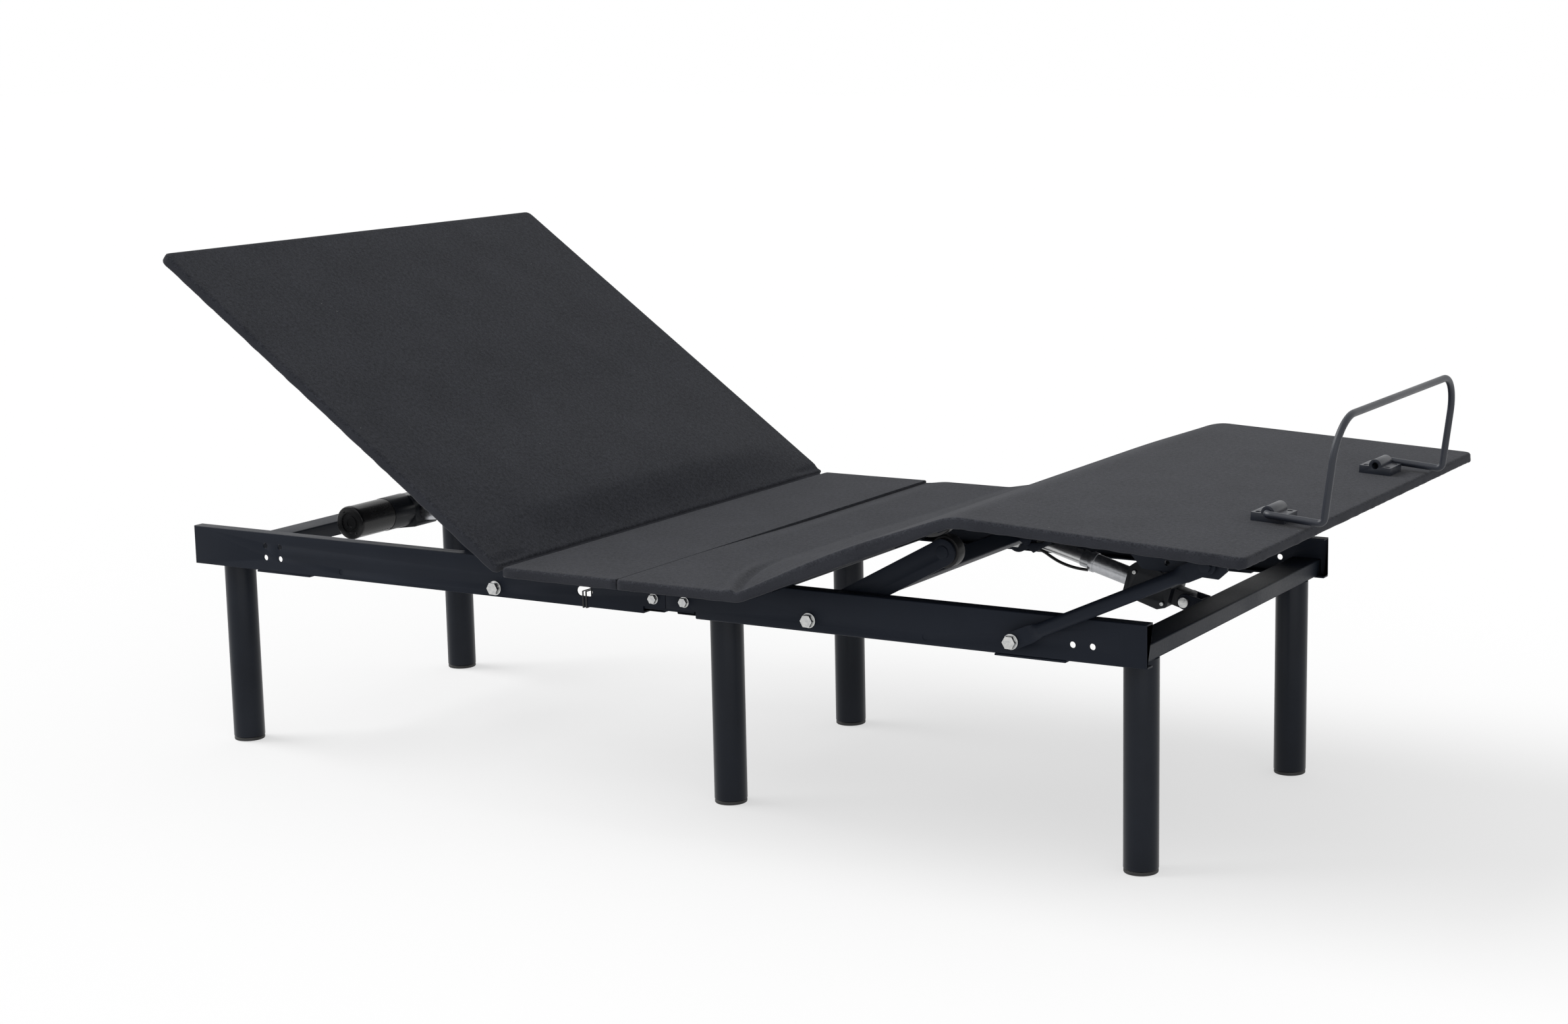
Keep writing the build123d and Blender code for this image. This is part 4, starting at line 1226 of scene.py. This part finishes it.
WORKED = (
    *(SteelPiece(n, STEEL, 0.0004, 0.003) for n in
      ("rail_head_near", "rail_head_far", "rail_foot_near", "rail_foot_far")),
    *(SteelPiece(n, STEEL, 0.0003, 0.0025) for n in
      ("beam_head", "beams_mid", "beam_foot", "back_cross_tube", "thigh_cross_tube")),
    *(SteelPiece(n, STEEL, 0.0006) for n in
      ("back_arms", "thigh_arms", "back_lift_bracket", "thigh_lift_bracket", "drive_clevises",
       "strut_brackets", "struts", "rail_stiffeners", "splice_plates", "head_rod_end", "foot_rod_end")),
    SteelPiece("retainer_bar", SLATE, 0.0006),
    SteelPiece("retainer_sockets", SLATE, 0.001, 0.0, 3),
    *(SteelPiece(n, ZINC, 0.0007, 0.0, 3) for n in ("pivot_bolts", "splice_bolts")),
    *(SteelPiece(n, ZINC, 0.0003) for n in
      ("pivot_nuts", "pivot_washers", "splice_washers", "seat_screws", "retainer_screws",
       "drive_clevis_pins")),
    SteelPiece("legs", LEG_BLACK, 0.0015, 0.0, 3),
    SteelPiece("leg_glides", GLIDE_BLACK, 0.0015, 0.0, 3),
    *(SteelPiece(n, HOUSING, 0.0015, 0.0, 3) for n in ("head_gear_housing", "foot_gear_housing")),
    *(SteelPiece(n, SILVER, 0.0004) for n in ("head_guide_tube", "foot_guide_tube")),
    *(SteelPiece(n, CHROME, 0.0004) for n in ("head_push_rod", "foot_push_rod")),
    *(SteelPiece(n, ROLLER, 0.0012, 0.0, 3) for n in ("back_rollers", "thigh_rollers")),
    *(SteelPiece(n, TRACK, 0.0004) for n in ("back_tracks", "thigh_tracks")),
    SteelPiece("cable_ties", NYLON, 0.0003),
)


@dataclass
class DriveMotor:
    """A drive's motor: can, seam, end cap with a sunk ring and two screws."""

    node: str
    rim: float = 0.0025
    swell: float = 0.0006
    cap: float = 0.0065
    seam: tuple[float, float] = (0.007, 0.0062)
    rings: tuple[tuple[float, float], ...] = (
        (0.0085, 0.0), (0.0006, -0.0022), (0.0008, 0.0), (0.004, 0.0),
        (0.0005, 0.0012), (0.0045, 0.0), (0.0005, -0.0012),
    )
    screw_angles: tuple[float, float] = (125.0, 305.0)
    screw_inset: float = 0.0065
    screw_size: tuple[float, float] = (0.0021, 0.0016)

    def build(self) -> None:
        """Model the motor along its axis, over its CAD node."""
        low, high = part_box(self.node)
        near = self.node.startswith("head")
        centre = (low + high) / 2
        radius = (high.z - low.z) / 2 - self.swell
        length = high.y - low.y
        lay_aside()
        bpy.ops.mesh.primitive_cylinder_add(vertices=72, radius=radius, depth=length)
        piece = name_active("worked_" + self.node)
        bpy.ops.object.mode_set(mode="EDIT")
        self.cut_bands(length)
        self.shape_cap(piece, radius, length)
        bpy.ops.object.mode_set(mode="OBJECT")
        piece.rotation_euler = (math.radians(90.0 if near else -90.0), 0.0, 0.0)
        piece.location = centre
        settle(piece, 30.0)
        carry(piece, frame["nodes"][self.node]["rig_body"], MOTOR, (self.node,))

    def cut_bands(self, length: float) -> None:
        """Cut the rings that part the cap from the can.

        Args:
            length: the motor's length.
        """
        for depth in self.seam:
            bpy.ops.mesh.select_all(action="SELECT")
            bpy.ops.mesh.bisect(plane_co=(0.0, 0.0, length / 2 - depth), plane_no=(0.0, 0.0, 1.0))

    def shape_cap(self, piece: bpy.types.Object, radius: float, length: float) -> None:
        """Swell the cap, sink the ring in its face and set two screws beside it.

        Args:
            piece: the motor, in edit mode.
            radius: its radius.
            length: its length.
        """
        top = length / 2
        mesh = bmesh.from_edit_mesh(piece.data)
        for vert in mesh.verts:
            reach = math.hypot(vert.co.x, vert.co.y)
            if reach > radius * 0.9 and vert.co.z > top - self.cap:
                scale = (radius + self.swell) / reach
                vert.co.x *= scale
                vert.co.y *= scale
        bmesh.update_edit_mesh(piece.data)
        pick_edges(piece, lambda e: all(abs(v.co.z - top) < 1e-5 for v in e.verts))
        bpy.ops.mesh.bevel(offset=self.rim, segments=3, profile=0.5, affect="EDGES")
        pick_faces(piece, lambda f: f.normal.z > 0.99 and f.calc_center_median().z > top - CLOSE
                   and len(f.verts) > 20)
        for inset, sink in self.rings:
            bpy.ops.mesh.inset(thickness=inset, depth=sink)
        reach = radius - self.screw_inset
        for angle in self.screw_angles:
            a = math.radians(angle)
            bpy.ops.mesh.primitive_cylinder_add(
                vertices=16, radius=self.screw_size[0], depth=self.screw_size[1],
                location=(reach * math.cos(a), reach * math.sin(a), top),
            )
            bpy.ops.mesh.bevel(offset=0.0004, segments=2, affect="EDGES")


@dataclass(frozen=True)
class PlainNode:
    """A CAD node that keeps its own shape and gets a finish."""

    node: str
    finish: Finish

    def dress(self) -> None:
        """Put the finish on the node."""
        self.finish.wear(frame["nodes"][self.node])
        LOG.info("%s keeps its shape", self.node)


PLAIN = (
    *(PlainNode(fold + "_hinge_" + leaf, STEEL)
      for fold in ("back", "thigh", "knee") for leaf in ("fixed", "moving")),
    *(PlainNode(end + "_lead_screw", ZINC) for end in ("head", "foot")),
)


@dataclass(frozen=True)
class DriveSide:
    """Upright frame of a drive: its rear pin, and the way that its rod points."""

    pin: Triple
    aim: float
    heading: int

    def spot(self, along: float, above: float, across: float) -> Vector:
        """Find a point beside the drive.

        Args:
            along: distance from the rear pin.
            above: height over the drive's line.
            across: distance to the far side.

        Returns:
            The point.
        """
        a = math.radians(self.aim)
        run = along * math.cos(a) - above * math.sin(a)
        rise = along * math.sin(a) + above * math.cos(a)
        return Vector(self.pin) + Vector((self.heading * run, across, rise))


FOOT_SIDE = DriveSide((0.661, 0.0, 0.337), 15.7176, -1)
HEAD_SIDE = DriveSide((-0.909, 0.02, 0.3435), 6.5955, 1)


@dataclass(frozen=True)
class GearScrews:
    """Plated screws in the gear housing's face, over the heads on its CAD piece."""

    name: str
    side: DriveSide
    face: float
    body: str
    spots: tuple[tuple[float, float], ...] = (
        (0.03, -0.012), (0.086, -0.0184), (0.086, 0.019), (0.042, 0.022),
    )
    radius: float = 0.0031
    height: float = 0.0012
    rim: float = 0.0005
    socket: tuple[tuple[float, float], ...] = ((0.001, 0.0), (0.0001, -0.0008))
    proud: float = 0.00061

    def screw(self, spot: tuple[float, float]) -> bpy.types.Object:
        """Model one screw head with a socket.

        Args:
            spot: distance along the drive and above its line.

        Returns:
            The screw.
        """
        lay_aside()
        bpy.ops.mesh.primitive_cylinder_add(vertices=24, radius=self.radius, depth=self.height)
        piece = name_active(self.name)
        bpy.ops.object.mode_set(mode="EDIT")
        pick_edges(piece, lambda e: all(v.co.z > 0.0 for v in e.verts))
        bpy.ops.mesh.bevel(offset=self.rim, segments=2, profile=0.5, affect="EDGES")
        pick_faces(piece, lambda f: f.normal.z > 0.99 and len(f.verts) > 12)
        for inset, sink in self.socket:
            bpy.ops.mesh.inset(thickness=inset, depth=sink)
        bpy.ops.object.mode_set(mode="OBJECT")
        outward = math.copysign(1.0, self.face)
        piece.rotation_euler = (math.radians(-90.0 * outward), 0.0, 0.0)
        piece.location = self.side.spot(*spot, self.face + outward * self.proud)
        return settle(piece, 30.0)

    def build(self) -> None:
        """Model the screws and join them."""
        screws = [self.screw(spot) for spot in self.spots]
        take_up(screws[0])
        for screw in screws[1:]:
            screw.select_set(True)
        bpy.ops.object.join()
        carry(name_active(self.name), self.body, ZINC)


SCREWS = (
    GearScrews("head_gear_screws", HEAD_SIDE, 0.0304, "head_drive"),
    GearScrews("foot_gear_screws", FOOT_SIDE, -0.0304, "foot_drive"),
)


@dataclass(frozen=True)
class DriveLead:
    """Thin lead that hangs from the foot drive's ring to the end of its push rod."""

    side: DriveSide = FOOT_SIDE
    radius: float = 0.0024
    route: tuple[Triple, ...] = (
        (0.166, -0.0106, -0.0152),
        (0.18, -0.0138, -0.0158),
        (0.197, -0.0158, -0.0154),
        (0.214, -0.0163, -0.0135),
        (0.231, -0.0145, -0.011),
        (0.248, -0.0108, -0.0086),
        (0.2624, -0.0108, -0.0086),
    )

    def draw(self) -> bpy.types.Object:
        """Draw the route as a NURBS curve.

        Returns:
            The curve's object.
        """
        lay_aside()
        bpy.ops.curve.primitive_nurbs_path_add()
        piece = name_active("worked_drive_lead")
        piece.data.splines.clear()
        piece.data.dimensions = "3D"
        spline = piece.data.splines.new("NURBS")
        spline.points.add(len(self.route) - 1)
        for point, place in zip(spline.points, self.route):
            point.co = (*self.side.spot(*place), 1.0)
        spline.order_u = 3
        spline.use_endpoint_u = True
        spline.resolution_u = 8
        return piece

    def build(self) -> None:
        """Model the lead as a tube along its curve."""
        piece = self.draw()
        line = bpy.data.meshes.new_from_object(piece)
        points = [vert.co.copy() for vert in line.vertices]
        bpy.data.meshes.remove(line)
        piece.data.bevel_depth = self.radius
        piece.data.bevel_resolution = 4
        piece.data.use_fill_caps = True
        bpy.ops.object.convert(target="MESH")
        piece = settle(name_active("worked_drive_lead"), 60.0)
        span(piece, ("foot_drive", "foot_rod"), LEAD, ("drive_lead",))


@dataclass
class Studio:
    """Floor, light and camera."""

    place: Triple = (2.28707, -3.78474, 1.2284)
    yaw: float = 28.1671
    pitch: float = 10.3922
    roll: float = -0.5415
    focal_px: float = 4203.44
    centre_px: float = 1450.0
    image_px: tuple[int, int] = (2380, 1554)
    sensor: float = 36.0
    floor_size: float = 60.0
    floor_drop: float = 0.0006
    floor_tone: float = 0.93
    floor_glow: float = 0.6
    world_light: float = 0.57

    def seen(self, kit: NodeKit) -> bpy.types.NodeSocket:
        """Tell rays that look at the surroundings from those that light the object.

        Args:
            kit: nodes of the floor's or the world's tree.

        Returns:
            A socket that is 1 for a ray that looks.
        """
        ray = kit.add("ShaderNodeLightPath")
        seen = kit.math("MAXIMUM", ray.outputs["Is Camera Ray"], ray.outputs["Is Glossy Ray"])
        return kit.math("MAXIMUM", seen, ray.outputs["Is Transmission Ray"])

    def floor(self) -> None:
        """Pale floor that keeps the object's shadow, clear from below."""
        lay_aside()
        bpy.ops.mesh.primitive_plane_add(size=self.floor_size, location=(0.0, 0.0, -self.floor_drop))
        plane = name_active("studio_floor")
        bpy.ops.object.transform_apply(location=True, rotation=True, scale=True)
        material = bpy.data.materials.new("studio_floor")
        material.use_nodes = True
        kit = NodeKit(material.node_tree)
        shader = material.node_tree.nodes["Principled BSDF"]
        shader.inputs["Base Color"].default_value = (*[self.floor_tone] * 3, 1.0)
        shader.inputs["Roughness"].default_value = 0.9
        shader.inputs["Specular IOR Level"].default_value = 0.0
        glow = kit.add("ShaderNodeEmission")
        glow.inputs["Strength"].default_value = 1.0
        mix = kit.add("ShaderNodeMixShader")
        kit.join(kit.math("MULTIPLY", self.seen(kit), self.floor_glow), mix.inputs[0])
        kit.join(shader.outputs[0], mix.inputs[1])
        kit.join(glow.outputs[0], mix.inputs[2])
        clear = kit.add("ShaderNodeMixShader")
        kit.join(kit.add("ShaderNodeNewGeometry").outputs["Backfacing"], clear.inputs[0])
        kit.join(mix.outputs[0], clear.inputs[1])
        kit.join(kit.add("ShaderNodeBsdfTransparent").outputs[0], clear.inputs[2])
        output = material.node_tree.nodes["Material Output"]
        kit.join(clear.outputs[0], output.inputs["Surface"])
        plane.data.materials.append(material)

    def world(self) -> None:
        """White surroundings, dimmer as light than they look."""
        world = bpy.data.worlds.new("studio_world")
        bpy.context.scene.world = world
        world.use_nodes = True
        kit = NodeKit(world.node_tree)
        back = world.node_tree.nodes["Background"]
        back.inputs["Color"].default_value = (1.0, 1.0, 1.0, 1.0)
        kit.join(kit.spread(self.seen(kit), 0.0, 1.0, self.world_light, 1.0), back.inputs["Strength"])

    def lamp(self, name: str, toward: Triple, spread: float, strength: float) -> None:
        """Broad, even lamp from far away.

        Args:
            name: the lamp's name.
            toward: direction that it shines in.
            spread: how broad it looks, in degrees.
            strength: share of plain full light on a surface that faces it.
        """
        light = bpy.data.lights.new(name, "SUN")
        light.energy = strength * math.pi
        light.angle = math.radians(spread)
        lamp = bpy.data.objects.new(name, light)
        bpy.context.scene.collection.objects.link(lamp)
        lamp.rotation_euler = Vector(toward).to_track_quat("-Z", "Y").to_euler()

    def camera(self) -> None:
        """Camera at the photograph's angle."""
        a, e, r = (math.radians(v) for v in (self.yaw, self.pitch, self.roll))
        ahead = Vector((-math.sin(a) * math.cos(e), math.cos(a) * math.cos(e), -math.sin(e)))
        level = Vector((math.cos(a), math.sin(a), 0.0))
        upward = level.cross(ahead)
        right = level * math.cos(r) + upward * math.sin(r)
        up = upward * math.cos(r) - level * math.sin(r)
        data = bpy.data.cameras.new("studio_camera")
        data.sensor_width = self.sensor
        data.sensor_fit = "HORIZONTAL"
        data.lens = self.focal_px / self.image_px[0] * self.sensor
        data.shift_x = (self.image_px[0] / 2 - self.centre_px) / self.image_px[0]
        data.clip_end = 200.0
        camera = bpy.data.objects.new("studio_camera", data)
        bpy.context.scene.collection.objects.link(camera)
        turn = Matrix((right, up, -ahead)).transposed()
        camera.matrix_world = Matrix.Translation(self.place) @ turn.to_4x4()
        bpy.context.scene.camera = camera

    def build(self) -> None:
        """Set up the studio."""
        bpy.context.scene.view_settings.view_transform = "Standard"
        self.floor()
        self.world()
        self.lamp("lamp_key", toward=(0.74, 0.18, -0.62), spread=44.0, strength=0.74)
        self.lamp("lamp_fill", toward=(-0.6, 0.75, -0.3), spread=60.0, strength=0.15)
        self.camera()


def main() -> None:
    """Build every sub-assembly."""
    logging.basicConfig(level=logging.INFO, format="%(name)s %(message)s")
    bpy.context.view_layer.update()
    Studio().build()
    Deck().build()
    for worked in WORKED:
        worked.build()
    for node in ("head_motor", "foot_motor"):
        DriveMotor(node).build()
    for screws in SCREWS:
        screws.build()
    DriveLead().build()
    for plain in PLAIN:
        plain.dress()


if __name__ == "__main__":
    main()
